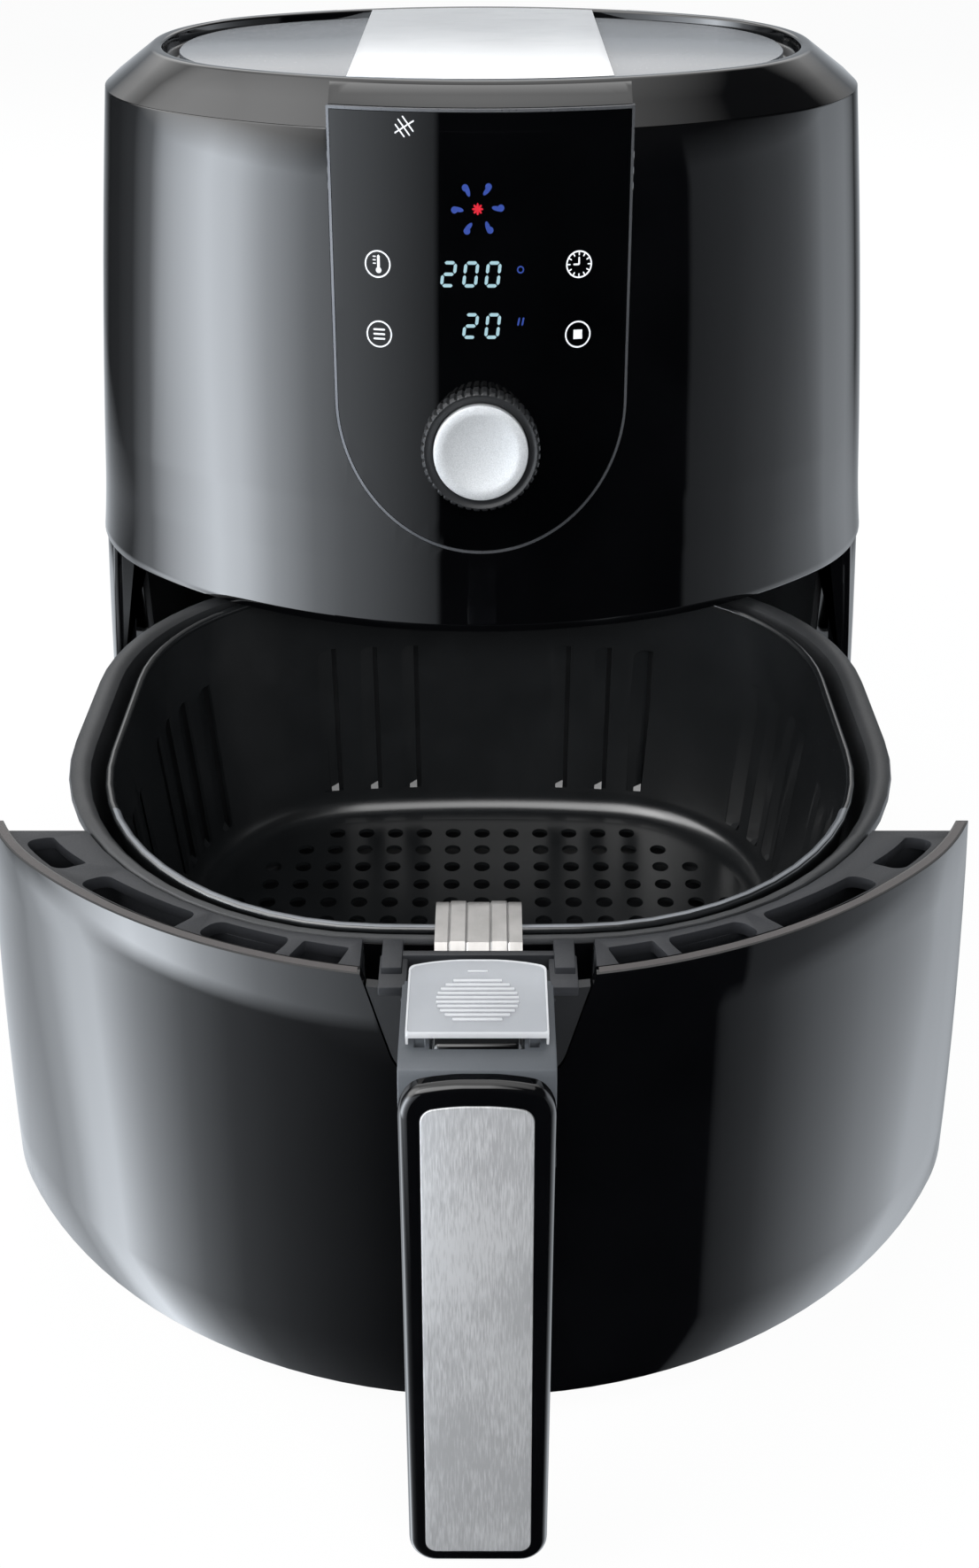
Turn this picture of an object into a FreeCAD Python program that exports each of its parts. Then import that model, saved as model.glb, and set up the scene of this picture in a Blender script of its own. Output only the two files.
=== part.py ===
import FreeCAD, Part
import math
import os

import Sketcher
from FreeCAD import Placement, Rotation, Vector

# Air fryer with a pull-out drawer, shown with the drawer open. Sizes are in millimetres.
# The front faces -Y and Z is up. Every piece is drawn with the drawer shut, about the line where
# the front of the body starts to curve in (y = 0), and is then set in the part's own frame.

# Driving dimensions: name, value, what it measures
SIZES = (
    ("foot_height", 6.0, "height of the rubber feet"),
    ("base_height", 8.0, "underside of the outer shells"),
    ("seam_height", 144.0, "seam between the drawer and the hood"),
    ("hood_height", 166.0, "hood, from the seam to the shoulder"),
    ("bevel_height", 13.0, "bevelled top ring, from the shoulder to the top"),
    ("half_width", 155.0, "half the width at the seam"),
    ("base_flare", 7.0, "how much wider each side is at the base"),
    ("shoulder_draw", 16.0, "how much narrower each side is at the shoulder"),
    ("bevel_side", 18.0, "width of the bevel at the sides"),
    ("front_reach", 81.0, "front of the seam, from the widest line"),
    ("base_front_flare", 26.0, "how much further out the front is at the base"),
    ("shoulder_front_draw", 31.0, "how much further in the front is at the shoulder"),
    ("bevel_front", 14.0, "width of the bevel in front"),
    ("rear_reach", 197.0, "rear of the seam, from the widest line"),
    ("base_rear_flare", 8.0, "how much further out the rear is at the base"),
    ("shoulder_rear_draw", 39.0, "how much further in the rear is at the shoulder"),
    ("bevel_rear", 27.0, "width of the bevel behind"),
    ("body_corner", 80.0, "corner radius in plan at the base and the seam"),
    ("shoulder_corner", 74.0, "corner radius in plan at the shoulder"),
    ("top_corner", 66.0, "corner radius in plan at the top"),
    ("base_front_round", 127.0, "front to the corners' centres at the base"),
    ("seam_front_round", 110.0, "front to the corners' centres at the seam"),
    ("shoulder_front_round", 95.0, "front to the corners' centres at the shoulder"),
    ("top_front_round", 81.0, "front to the corners' centres at the top"),
    ("base_rear_round", 98.6, "rear to the corners' centres at the base"),
    ("seam_rear_round", 96.4, "rear to the corners' centres at the seam"),
    ("shoulder_rear_round", 89.3, "rear to the corners' centres at the shoulder"),
    ("top_rear_round", 80.9, "rear to the corners' centres at the top"),
    ("hood_wall", 3.0, "wall of the hood"),
    ("rear_wall", 3.0, "wall of the rear shell"),
    ("drawer_wall", 3.5, "wall of the drawer front"),
    ("fit_gap", 0.4, "gap between pieces that fit together"),
    ("seam_gap", 0.8, "gap along the seams of the housing"),
    ("drawer_end", 5.0, "ends of the drawer front, ahead of the widest line"),
    ("drawer_pull", 198.0, "how far the drawer is open"),
    ("lip_width", 5.0, "thickened front edge of the rear shell"),
    ("lip_depth", 5.0, "depth of that thickened edge"),
    ("base_plate", 4.0, "thickness of the base cover"),
    ("base_margin", 9.0, "base cover, in from the outer surface"),
    ("base_flange", 14.0, "width of the rear shell's inner flange over the base cover"),
    ("base_flange_thick", 3.0, "thickness of that flange"),
    ("foot_radius", 12.0, "radius of a rubber foot"),
    ("foot_taper", 8.0, "taper of a foot, in degrees"),
    ("foot_side_front", 72.0, "front feet, from the middle plane"),
    ("foot_side_rear", 108.0, "rear feet, from the middle plane"),
    ("foot_front", 64.0, "front feet, ahead of the widest line"),
    ("foot_rear", 40.0, "rear feet, ahead of the rear of the body"),
    ("intake_slot_length", 70.0, "air intake slots of the base cover"),
    ("intake_slot_width", 4.0, "width of an intake slot"),
    ("intake_pitch", 9.0, "pitch of the intake slots"),
    ("intake_count", 7.0, "number of intake slots"),
    ("liner_wall", 2.4, "wall of the bay liner"),
    ("liner_side", 14.0, "liner's inner side, in from the half width"),
    ("liner_rear", 12.5, "liner's inner rear, in from the rear of the seam"),
    ("liner_corner", 88.0, "liner's inner corner radius"),
    ("liner_rear_round", 94.0, "liner's rear to the corners' centres"),
    ("rail_thick", 6.0, "height of a drawer rail"),
    ("rail_width", 9.5, "how far a rail stands in from the liner"),
    ("rail_drop", 8.4, "top of the rails below the seam"),
    ("rail_length", 120.0, "length of a rail"),
    ("rail_start", 6.0, "front end of the rails behind the widest line"),
    ("basket_side", 34.0, "basket rim, in from the half width"),
    ("basket_front_set", 30.0, "basket rim, behind the front of the seam"),
    ("basket_rear_set", 31.0, "basket rim, ahead of the rear of the seam"),
    ("basket_corner", 75.0, "corner radius of the basket's rim"),
    ("basket_front_round", 90.8, "basket's front to the corners' centres"),
    ("basket_rear_round", 77.2, "basket's rear to the corners' centres"),
    ("basket_rim_drop", 5.0, "basket rim's middle, below the seam"),
    ("basket_floor_height", 42.0, "top of the basket's floor"),
    ("basket_draft", 6.5, "how much the basket narrows down to its floor"),
    ("basket_round", 9.0, "rounding at the foot of the basket's wall"),
    ("sheet", 1.5, "sheet metal of basket and pan"),
    ("rim_bead", 1.4, "radius of the basket's rolled rim"),
    ("wall_slot_width", 3.5, "width of a slot in the basket's wall"),
    ("wall_slot_rise", 10.0, "lower end of the wall slots above the basket's floor"),
    ("wall_slot_drop", 24.0, "upper end of the wall slots below the rim"),
    ("wall_slot_first", 29.5, "inner slot of the rear wall, from the middle"),
    ("wall_slot_pitch", 16.0, "pitch of the wall slots"),
    ("side_slot_front", 30.0, "first side slot, behind the widest line"),
    ("side_slot_rear", 78.0, "fourth side slot, behind the widest line"),
    ("side_slot_pitch", 12.0, "pitch of the side slots"),
    ("hole_pitch", 11.7, "pitch of the holes in the basket's floor"),
    ("hole_radius", 3.2, "radius of those holes"),
    ("hole_field", 101.0, "radius of the field of holes"),
    ("hole_margin", 1.0, "solid margin of the basket's floor"),
    ("floor_lip", 6.0, "in-turned flange that carries the basket's floor"),
    ("pan_outset", 6.0, "pan's outer wall, out from the basket rim"),
    ("pan_rim", 13.0, "pan's rim, out from the basket rim"),
    ("pan_rim_thick", 4.0, "height of the pan's rim"),
    ("pan_rim_drop", 4.0, "top of the pan's rim below the seam"),
    ("pan_floor_height", 14.0, "underside of the pan"),
    ("pan_draft", 9.0, "how much the pan narrows down to its floor"),
    ("pan_round", 8.0, "rounding at the foot of the pan's wall"),
    ("pan_post_radius", 5.0, "posts on the pan's floor under the basket"),
    ("pan_post_side", 36.0, "those posts, in from the sides of the basket's rim"),
    ("pan_post_ends", 45.0, "those posts, in from the front and the rear of the basket's rim"),
    ("ledge_thick", 4.0, "thickness of the drawer's slotted ledge"),
    ("ledge_skirt", 32.0, "depth of the wall under the ledge"),
    ("ledge_skirt_wall", 2.5, "thickness of that wall"),
    ("ledge_slot_inner", 14.5, "inner edge of the ledge slots, in from the drawer's surface"),
    ("ledge_slot_outer", 6.5, "outer edge of the ledge slots, in from the drawer's surface"),
    ("neck_notch", 32.0, "half width of the notch for the handle's neck, at the seam"),
    ("neck_notch_foot", 21.5, "half width of that notch at its foot"),
    ("neck_notch_depth", 32.0, "depth of that notch below the seam"),
    ("neck_notch_corner", 8.0, "corner radius of that notch"),
    ("panel_half_width", 50.0, "half the width of the control panel"),
    ("panel_foot", 29.0, "lower end of the control panel above the seam"),
    ("panel_thick", 4.0, "thickness of the control panel"),
    ("panel_rise", 6.0, "how far the control panel rises above the shoulder"),
    ("panel_head_drop", 1.0, "top of the control panel's head strip below the top"),
    ("bezel_width", 0.9, "width of the bright line round the control panel"),
    ("dial_height", 66.0, "middle of the dial above the seam"),
    ("dial_radius", 20.4, "outer radius of the dial ring"),
    ("dial_bore", 16.6, "bore of the dial ring"),
    ("dial_depth", 13.0, "how far the dial ring stands out"),
    ("dial_lift", 0.8, "gap between dial ring and control panel"),
    ("dial_floor", 2.5, "floor of the dial ring"),
    ("dial_stem", 9.0, "radius of the dial ring's stem"),
    ("dial_stem_bore", 4.6, "bore of that stem"),
    ("dial_grooves", 44.0, "number of grooves round the dial ring"),
    ("dial_groove", 0.7, "radius of such a groove"),
    ("cap_rise", 14.6, "how far the push cap's rim stands out"),
    ("cap_thick", 7.0, "height of the push cap"),
    ("cap_dish", 1.4, "depth of the dish in the push cap"),
    ("cap_rim", 1.6, "width of the push cap's rim"),
    ("cap_stem", 4.0, "radius of the push cap's stem"),
    ("cap_travel", 1.2, "travel of the push cap"),
    ("encoder_radius", 16.0, "radius of the encoder body"),
    ("encoder_front", 6.5, "front of the encoder behind the panel's surface"),
    ("board_depth", 20.0, "control board behind the panel's surface"),
    ("board_thick", 1.6, "thickness of the boards"),
    ("board_half_width", 42.0, "half the width of the control board"),
    ("board_below", 26.0, "control board, below the dial"),
    ("board_above", 92.0, "control board, above the dial"),
    ("switch_size", 6.2, "square tactile switch behind the push cap"),
    ("display_half_width", 24.0, "half the width of the display block"),
    ("display_low", 26.0, "lower edge of the display block above the dial"),
    ("display_high", 86.0, "upper edge of the display block above the dial"),
    ("display_front", 9.0, "front of the display block behind the panel's surface"),
    ("pad_side", 34.0, "touch pads, from the middle plane"),
    ("pad_low", 36.0, "lower touch pads above the dial"),
    ("pad_high", 58.0, "upper touch pads above the dial"),
    ("pad_radius", 4.0, "radius of a touch pad's spring"),
    ("ring_groove", 6.0, "gloss groove between the top ring and the lid panel"),
    ("ring_edge", 4.0, "flat edge of the top ring"),
    ("lid_drop", 2.0, "lid panel below the top"),
    ("lid_thick", 3.0, "thickness of the lid panel"),
    ("trim_half_width", 45.0, "half the width of the steel strip"),
    ("chamber_gap", 2.5, "chamber plate above the seam"),
    ("chamber_plate", 3.0, "thickness of the chamber plate"),
    ("shield_radius", 100.0, "inner radius of the heat shield"),
    ("shield_height", 52.0, "height of the heat shield"),
    ("shield_sheet", 1.2, "sheet metal of the heat shield"),
    ("shield_flange", 12.0, "flange of the heat shield"),
    ("shield_round", 16.0, "rounding of the heat shield's top"),
    ("shield_hole", 12.0, "hole in the heat shield for the motor shaft"),
    ("element_tube", 3.2, "radius of the heater tube"),
    ("element_inset", 32.0, "inner end of the heater coil, in from the heat shield"),
    ("element_pitch", 12.0, "pitch of the heater coil"),
    ("element_half_turns", 4.0, "half turns of the heater coil"),
    ("element_rise", 20.0, "heater coil above the chamber plate"),
    ("element_turn", 45.0, "angle of the heater's ends about the fan's axis"),
    ("guard_rise", 8.0, "heater guard above the chamber plate"),
    ("guard_wire", 2.4, "width of the heater guard's rings and spokes"),
    ("guard_spokes", 6.0, "number of spokes of the heater guard"),
    ("guard_ring_pitch", 20.0, "pitch of the heater guard's rings"),
    ("fan_inset", 40.0, "edge of the convection fan, in from the heat shield"),
    ("fan_rise", 36.0, "convection fan above the chamber plate"),
    ("fan_blade", 9.0, "height of the fan blades"),
    ("fan_sheet", 1.2, "sheet metal of the fans"),
    ("fan_hub", 9.0, "radius of the fan hubs"),
    ("fan_blades", 8.0, "number of blades of each fan"),
    ("cooling_inset", 46.0, "edge of the cooling fan, in from the heat shield"),
    ("cooling_gap", 3.0, "cooling fan above the heat shield"),
    ("shaft_radius", 4.0, "radius of the motor shaft"),
    ("shaft_gap", 0.1, "running gap of the motor shaft"),
    ("motor_radius", 31.0, "radius of the motor"),
    ("motor_height", 34.0, "height of the motor"),
    ("motor_boss", 9.0, "radius of the motor's bearing boss"),
    ("bracket_rise", 18.0, "motor bracket above the heat shield"),
    ("bracket_span", 66.0, "motor bracket's legs, from the motor's axis"),
    ("bracket_foot", 12.6, "feet of the motor bracket, out from its legs"),
    ("bracket_depth", 40.0, "depth of the motor bracket"),
    ("bracket_sheet", 2.0, "sheet metal of the motor bracket"),
    ("vent_half_width", 44.0, "half the width of the rear air outlet"),
    ("vent_low", 78.0, "lower edge of the air outlet above the seam"),
    ("vent_high", 122.0, "upper edge of the air outlet above the seam"),
    ("vent_slot", 3.6, "height of an outlet slot"),
    ("vent_pitch", 7.2, "pitch of the outlet slots"),
    ("gland_radius", 7.0, "radius of the cord gland"),
    ("gland_bore", 3.6, "bore of the cord gland"),
    ("gland_height", 36.0, "height of the cord gland"),
    ("gland_flange", 10.0, "radius of the gland's flange"),
    ("gland_stand", 3.0, "how far the gland's flange stands out"),
    ("power_board_back", 62.0, "supply board behind the motor's axis"),
    ("power_board_half_width", 40.0, "half the width of the supply board"),
    ("power_board_height", 50.0, "height of the supply board"),
    ("power_block", 16.0, "size of the blocks on the supply board"),
    ("power_block_depth", 10.0, "how far those blocks stand out"),
    ("drawer_switch_length", 20.0, "length of the drawer switch"),
    ("drawer_switch_height", 11.0, "height of the drawer switch"),
    ("drawer_switch_side", 104.0, "drawer switch, from the middle plane"),
    ("drawer_switch_back", 12.0, "drawer switch, ahead of the widest line"),
    ("probe_radius", 2.0, "radius of the temperature probe"),
    ("probe_rise", 13.6, "temperature probe above the chamber plate"),
    ("probe_length", 26.0, "length of the temperature probe"),
    ("screw_radius", 2.0, "radius of a screw"),
    ("screw_head", 3.6, "radius of a screw head"),
    ("screw_head_thick", 1.8, "height of a screw head"),
    ("screw_well", 8.0, "depth of the wells for the grip's screws"),
    ("screw_bite", 2.6, "how far the grip's screws reach into the handle's face"),
    ("grip_screw_margin", 16.0, "grip's screws, from the ends of the grip"),
    ("clip_half_width", 12.7, "half the width of the basket clip"),
    ("clip_inner", 8.5, "clip's inner leg, behind the basket's front"),
    ("clip_leg", 12.0, "length of the clip's inner leg"),
    ("clip_reach", 15.5, "clip, ahead of the basket's front"),
    ("clip_thick", 2.4, "thickness of the clip"),
    ("clip_groove", 1.2, "radius of the clip's grooves"),
    ("clip_groove_inner", 3.0, "inner grooves of the clip, from its middle"),
    ("clip_groove_outer", 8.0, "outer grooves of the clip, from its middle"),
    ("flange_half_width", 29.0, "half the width of the bracket's flange"),
    ("flange_thick", 3.2, "thickness of the bracket's flange"),
    ("neck_half_width", 19.3, "half the width of the handle's neck"),
    ("neck_top", 6.6, "top of the neck above the seam"),
    ("neck_ramp", 4.0, "length of the ramp at the neck's rear"),
    ("neck_nose", 1.2, "rounding of the neck under the handle's top edge"),
    ("neck_low", 14.0, "underside of the neck below the seam"),
    ("neck_roof", 3.4, "roof of the neck over the release button"),
    ("neck_pocket", 12.6, "half the width of the pocket in the neck"),
    ("guard_half_width", 17.6, "half the width of the button guard"),
    ("guard_length", 31.0, "length of the button guard"),
    ("guard_front", 118.0, "front of the button guard, from the widest line"),
    ("guard_thick", 2.6, "thickness of the button guard"),
    ("guard_arch", 2.4, "how far the guard's rear edge is arched"),
    ("guard_arch_half", 9.0, "half the width of the arch's crown"),
    ("guard_arch_round", 20.0, "rounding beside that crown"),
    ("guard_skirt", 5.0, "depth of the guard's side skirts"),
    ("guard_skirt_wall", 1.5, "thickness of the guard's side skirts"),
    ("button_half_width", 10.6, "half the width of the release button"),
    ("button_front", 116.0, "front of the release button, from the widest line"),
    ("button_length", 19.0, "length of the release button"),
    ("button_rise", 0.9, "release button above the neck"),
    ("button_flange", 1.6, "flange that keeps the button in"),
    ("button_flange_thick", 2.4, "thickness of that flange"),
    ("hook_half_width", 7.0, "half the width of the latch hook"),
    ("hook_reach", 74.0, "tip of the latch hook, from the widest line"),
    ("hook_thick", 3.0, "thickness of the latch hook"),
    ("spring_radius", 3.0, "radius of the release spring"),
    ("spring_wire", 0.4, "radius of the spring's wire"),
    ("spring_turns", 5.0, "turns of the release spring"),
    ("handle_top", 6.0, "top of the handle above the seam"),
    ("handle_top_reach", 128.0, "handle's top edge, from the widest line"),
    ("handle_foot", 13.0, "foot of the handle above the floor"),
    ("handle_foot_reach", 163.0, "handle's foot, from the widest line"),
    ("handle_half_width", 19.3, "half the width of the handle's top"),
    ("handle_taper", 1.2, "how much narrower each side of the handle's foot is"),
    ("handle_corner", 7.0, "corner radius of the handle's face"),
    ("handle_arch", 2.6, "how far the top edge of the handle's face is arched"),
    ("handle_arch_half", 8.6, "half the width of the arch's crown"),
    ("handle_arch_round", 40.0, "rounding beside that crown"),
    ("handle_face_thick", 5.0, "thickness of the handle's face"),
    ("handle_grip_thick", 16.0, "thickness of the handle behind its face"),
    ("handle_grip_round", 6.0, "rounding of the handle's back"),
    ("handle_grip_inset", 1.2, "handle's back, in from its face"),
    ("handle_neck_length", 26.0, "stretch of the handle that the neck backs"),
    ("inlay_half_width", 14.0, "half the width of the steel inlay"),
    ("inlay_margin_top", 6.0, "steel inlay, below the handle's top"),
    ("inlay_margin_foot", 3.5, "steel inlay, above the handle's foot"),
    ("inlay_corner", 3.0, "corner radius of the steel inlay"),
    ("inlay_arch", 1.4, "how far the inlay's top edge is arched"),
    ("inlay_arch_half", 6.4, "half the width of the arch's crown"),
    ("inlay_thick", 0.8, "thickness of the steel inlay"),
)


class Size(float):
    """A number from the sheet that remembers the expression it comes from."""

    def __new__(cls, value, text):
        size = float.__new__(cls, value)
        size.text = text
        return size

    def join(self, sign, other, result):
        return Size(result, "(%s %s %s)" % (self.text, sign, text_of(other)))

    def __add__(self, other):
        return self.join("+", other, float(self) + float(other))

    def __sub__(self, other):
        return self.join("-", other, float(self) - float(other))

    def __mul__(self, other):
        return self.join("*", other, float(self) * float(other))

    def __truediv__(self, other):
        return self.join("/", other, float(self) / float(other))

    def __radd__(self, other):
        return Size(other, text_of(other)) + self

    def __rsub__(self, other):
        return Size(other, text_of(other)) - self

    def __rmul__(self, other):
        return Size(other, text_of(other)) * self

    def __neg__(self):
        return Size(-float(self), "(0 - %s)" % self.text)


def text_of(number):
    return number.text if isinstance(number, Size) else repr(float(number))


class Sheet:
    """The driving dimensions, in a spreadsheet of the document, read by name."""

    def __init__(self, document, rows):
        self.cells = document.addObject("Spreadsheet::Sheet", "Sizes")
        for row, (name, value, meaning) in enumerate(rows, start=1):
            self.cells.set("A%d" % row, name)
            self.cells.set("B%d" % row, str(value))
            self.cells.set("C%d" % row, meaning)
            self.cells.setAlias("B%d" % row, name)
        document.recompute()

    def __getattr__(self, name):
        return Size(self.cells.get(name), "Sizes.%s" % name)


class Plan:
    """A body outline seen from above: front arc, corner arcs, straight sides and rear arc."""

    def __init__(self, half_width, front, rear, front_round, rear_round, corner):
        self.half_width = half_width
        self.front = front
        self.rear = rear
        self.front_round = front_round
        self.rear_round = rear_round
        self.corner = corner

    def grown(self, by):
        return Plan(
            self.half_width + by,
            self.front + by,
            self.rear + by,
            self.front_round + by,
            self.rear_round + by,
            self.corner + by,
        )

    def wire(self, height):
        """The outline as a closed wire at a height."""
        corner_x = self.half_width - self.corner
        front_y = self.front_round - self.front
        rear_y = self.rear - self.rear_round
        front_radius = arc_radius(corner_x, self.front_round, self.corner)
        rear_radius = arc_radius(corner_x, self.rear_round, self.corner)
        front_middle = Vector(0, front_radius - self.front, height)
        rear_middle = Vector(0, self.rear - rear_radius, height)
        front_corner = Vector(corner_x, front_y, height)
        rear_corner = Vector(corner_x, rear_y, height)
        front_meet = front_middle + unit(front_corner - front_middle) * front_radius
        rear_meet = rear_middle + unit(rear_corner - rear_middle) * rear_radius
        side_front = front_corner + Vector(self.corner, 0, 0)
        side_rear = rear_corner + Vector(self.corner, 0, 0)
        front_mid = front_corner + unit(unit(front_meet - front_corner) + Vector(1, 0, 0)) * self.corner
        rear_mid = rear_corner + unit(unit(rear_meet - rear_corner) + Vector(1, 0, 0)) * self.corner
        edges = [
            arc(mirrored(front_meet), Vector(0, -self.front, height), front_meet),
            arc(front_meet, front_mid, side_front),
            line(side_front, side_rear),
            arc(side_rear, rear_mid, rear_meet),
            arc(rear_meet, Vector(0, self.rear, height), mirrored(rear_meet)),
            arc(mirrored(rear_meet), mirrored(rear_mid), mirrored(side_rear)),
            line(mirrored(side_rear), mirrored(side_front)),
            arc(mirrored(side_front), mirrored(front_mid), mirrored(front_meet)),
        ]
        return Part.Wire(edges)

    def slab(self, low, high):
        """The outline as a plate between two heights."""
        return Part.Face(self.wire(low)).extrude(Vector(0, 0, high - low))


def arc_radius(corner_x, reach, corner):
    """Radius of the arc that is tangent to both corner arcs at a reach from their centres."""
    return (corner_x * corner_x + reach * reach - corner * corner) / (2.0 * (reach - corner))


def unit(vector):
    return vector / vector.Length


def mirrored(point):
    return Vector(-point.x, point.y, point.z)


def line(start, end):
    return Part.LineSegment(start, end).toShape()


def arc(start, middle, end):
    return Part.Arc(start, middle, end).toShape()


def box(low_x, high_x, low_y, high_y, low_z, high_z):
    return Part.makeBox(high_x - low_x, high_y - low_y, high_z - low_z, Vector(low_x, low_y, low_z))


def cylinder(radius, low, high, x=0.0, y=0.0):
    return Part.makeCylinder(radius, high - low, Vector(x, y, low))


def rounded(points, radii):
    """A closed outline of straight runs whose corners are rounded by the radii given."""
    count = len(points)
    pieces = []
    ends = []
    for index, corner in enumerate(points):
        before = unit(points[index - 1] - corner)
        after = unit(points[(index + 1) % count] - corner)
        radius = radii[index]
        half = before.getAngle(after) / 2.0
        reach = radius / math.tan(half)
        middle = corner + unit(before + after) * (radius / math.sin(half) - radius)
        ends.append((corner + before * reach, middle, corner + after * reach, radius))
    for index, (enter, middle, leave, radius) in enumerate(ends):
        if radius > 0:
            pieces.append(Part.Arc(enter, middle, leave))
        following = ends[(index + 1) % count][0]
        if leave.distanceToPoint(following) > 1e-6:
            pieces.append(Part.LineSegment(leave, following))
    return pieces


document = FreeCAD.newDocument("AirFryer")
S = Sheet(document, SIZES)

# Levels and places that several pieces share
SHOULDER = S.seam_height + S.hood_height
TOP = SHOULDER + S.bevel_height
BASE_PLAN = Plan(
    S.half_width + S.base_flare,
    S.front_reach + S.base_front_flare,
    S.rear_reach + S.base_rear_flare,
    S.base_front_round,
    S.base_rear_round,
    S.body_corner,
)
SEAM_PLAN = Plan(
    S.half_width,
    S.front_reach,
    S.rear_reach,
    S.seam_front_round,
    S.seam_rear_round,
    S.body_corner,
)
SHOULDER_PLAN = Plan(
    S.half_width - S.shoulder_draw,
    S.front_reach - S.shoulder_front_draw,
    S.rear_reach - S.shoulder_rear_draw,
    S.shoulder_front_round,
    S.shoulder_rear_round,
    S.shoulder_corner,
)
TOP_PLAN = Plan(
    SHOULDER_PLAN.half_width - S.bevel_side,
    SHOULDER_PLAN.front - S.bevel_front,
    SHOULDER_PLAN.rear - S.bevel_rear,
    S.top_front_round,
    S.top_rear_round,
    S.top_corner,
)
BASKET_PLAN = Plan(
    S.half_width - S.basket_side,
    S.front_reach - S.basket_front_set,
    S.rear_reach - S.basket_rear_set,
    S.basket_front_round,
    S.basket_rear_round,
    S.basket_corner,
)
LINER_PLAN = Plan(
    S.half_width - S.liner_side,
    S.front_reach,
    S.rear_reach - S.liner_rear,
    S.seam_front_round,
    S.liner_rear_round,
    S.liner_corner,
)
CHAMBER_Y = (BASKET_PLAN.rear - BASKET_PLAN.front) / 2.0
CHAMBER_LOW = S.seam_height + S.chamber_gap
CHAMBER_TOP = CHAMBER_LOW + S.chamber_plate
SHIELD_TOP = CHAMBER_TOP + S.shield_height
HEATER_INNER = S.shield_radius - S.element_inset
PAN_TOP = S.seam_height - S.pan_rim_drop
RIM_MIDDLE = S.seam_height - S.basket_rim_drop
BAY_FRONT = S.seam_gap - S.drawer_end
FRONT_SLOPE = S.shoulder_front_draw / S.hood_height
FRONT_LEAN = math.degrees(math.atan(FRONT_SLOPE))
DIAL_Z = S.seam_height + S.dial_height
DIAL_Y = S.dial_height * FRONT_SLOPE - S.front_reach
FAR = 2.0 * (S.half_width + S.rear_reach)

# The part's origin is under the middle of its box, drawer open
FRONTMOST = S.handle_foot_reach + S.drawer_pull
AXIS_SHIFT = (FRONTMOST - S.rear_reach - S.base_rear_flare) / 2.0
DRAWER_SHIFT = AXIS_SHIFT - S.drawer_pull

# Slots of the drawer's ledge on each side: start and end, in degrees from the front
LEDGE_SECTORS = ((17.0, 23.0), (26.0, 37.0), (40.0, 54.0), (57.0, 72.0))
HOLE_SIDES = 8
SLOTS_IN_GROUP = 3

NODES = []


def panel_place():
    """Frame of the dial: Z out of the control panel, Y up along it."""
    return Placement(Vector(0, DIAL_Y, DIAL_Z), Rotation(Vector(1, 0, 0), 90.0 - FRONT_LEAN))


def handle_place():
    """Frame of the handle: origin at its top edge, Z out of its face, Y up along it."""
    rise = S.seam_height + S.handle_top - S.handle_foot
    lean = math.degrees(math.atan((S.handle_foot_reach - S.handle_top_reach) / rise))
    origin = Vector(0, -S.handle_top_reach, S.seam_height + S.handle_top)
    return Placement(origin, Rotation(Vector(1, 0, 0), 90.0 - lean))


def handle_length():
    rise = S.seam_height + S.handle_top - S.handle_foot
    return math.hypot(rise, S.handle_foot_reach - S.handle_top_reach)


def keep(item, shift, local=None):
    """List a finished piece and set it in the part's frame."""
    place = local if local else Placement()
    item.Placement = Placement(Vector(0, shift, 0), Rotation()) * place
    item.setExpression("Placement.Base.y", "%s + %r" % (shift.text, float(place.Base.y)))
    NODES.append(item)
    return item


def feature(label, shape, shift, local=None):
    """A piece whose shape is made directly."""
    item = document.addObject("Part::Feature", label)
    item.Label = label
    item.Shape = shape
    return keep(item, shift, local)


def body(label):
    item = document.addObject("PartDesign::Body", label)
    item.Label = label
    item.AllowCompound = True
    return item


def sketch(owner, name, role="XY_Plane", offset=0.0):
    """An empty sketch on one of the body's own planes, moved along its normal by an offset."""
    item = owner.newObject("Sketcher::SketchObject", name)
    support = next(plane for plane in owner.Origin.OriginFeatures if plane.Role == role)
    item.AttachmentSupport = [(support, "")]
    item.MapMode = "FlatFace"
    bind(item, "AttachmentOffset.Base.z", offset)
    return item


def bind(item, name, number):
    """Set a property from a size, by expression."""
    item.setExpression(name, text_of(number))


def draw_circle(target, radius, x=0.0, y=0.0):
    """A circle whose radius and centre follow the sheet."""
    index = target.addGeometry(Part.Circle(Vector(x, y, 0), Vector(0, 0, 1), radius))
    rules = (
        (Sketcher.Constraint("Radius", index, float(radius)), radius),
        (Sketcher.Constraint("DistanceX", -1, 1, index, 3, float(x)), x),
        (Sketcher.Constraint("DistanceY", -1, 1, index, 3, float(y)), y),
    )
    for rule, number in rules:
        place = target.addConstraint(rule)
        bind(target, "Constraints[%d]" % place, number)


def draw_polygon(target, points):
    """A closed outline of straight lines whose corners follow the sheet."""
    count = len(points)
    first = target.GeometryCount
    for index, (x, y) in enumerate(points):
        end_x, end_y = points[(index + 1) % count]
        target.addGeometry(Part.LineSegment(Vector(x, y, 0), Vector(end_x, end_y, 0)))
    for index, (x, y) in enumerate(points):
        current = first + index
        following = first + (index + 1) % count
        target.addConstraint(Sketcher.Constraint("Coincident", current, 2, following, 1))
        for kind, number in (("DistanceX", x), ("DistanceY", y)):
            place = target.addConstraint(Sketcher.Constraint(kind, -1, 1, current, 1, float(number)))
            bind(target, "Constraints[%d]" % place, number)


def draw_rectangle(target, low_x, high_x, low_y, high_y):
    draw_polygon(target, ((low_x, low_y), (high_x, low_y), (high_x, high_y), (low_x, high_y)))


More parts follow.
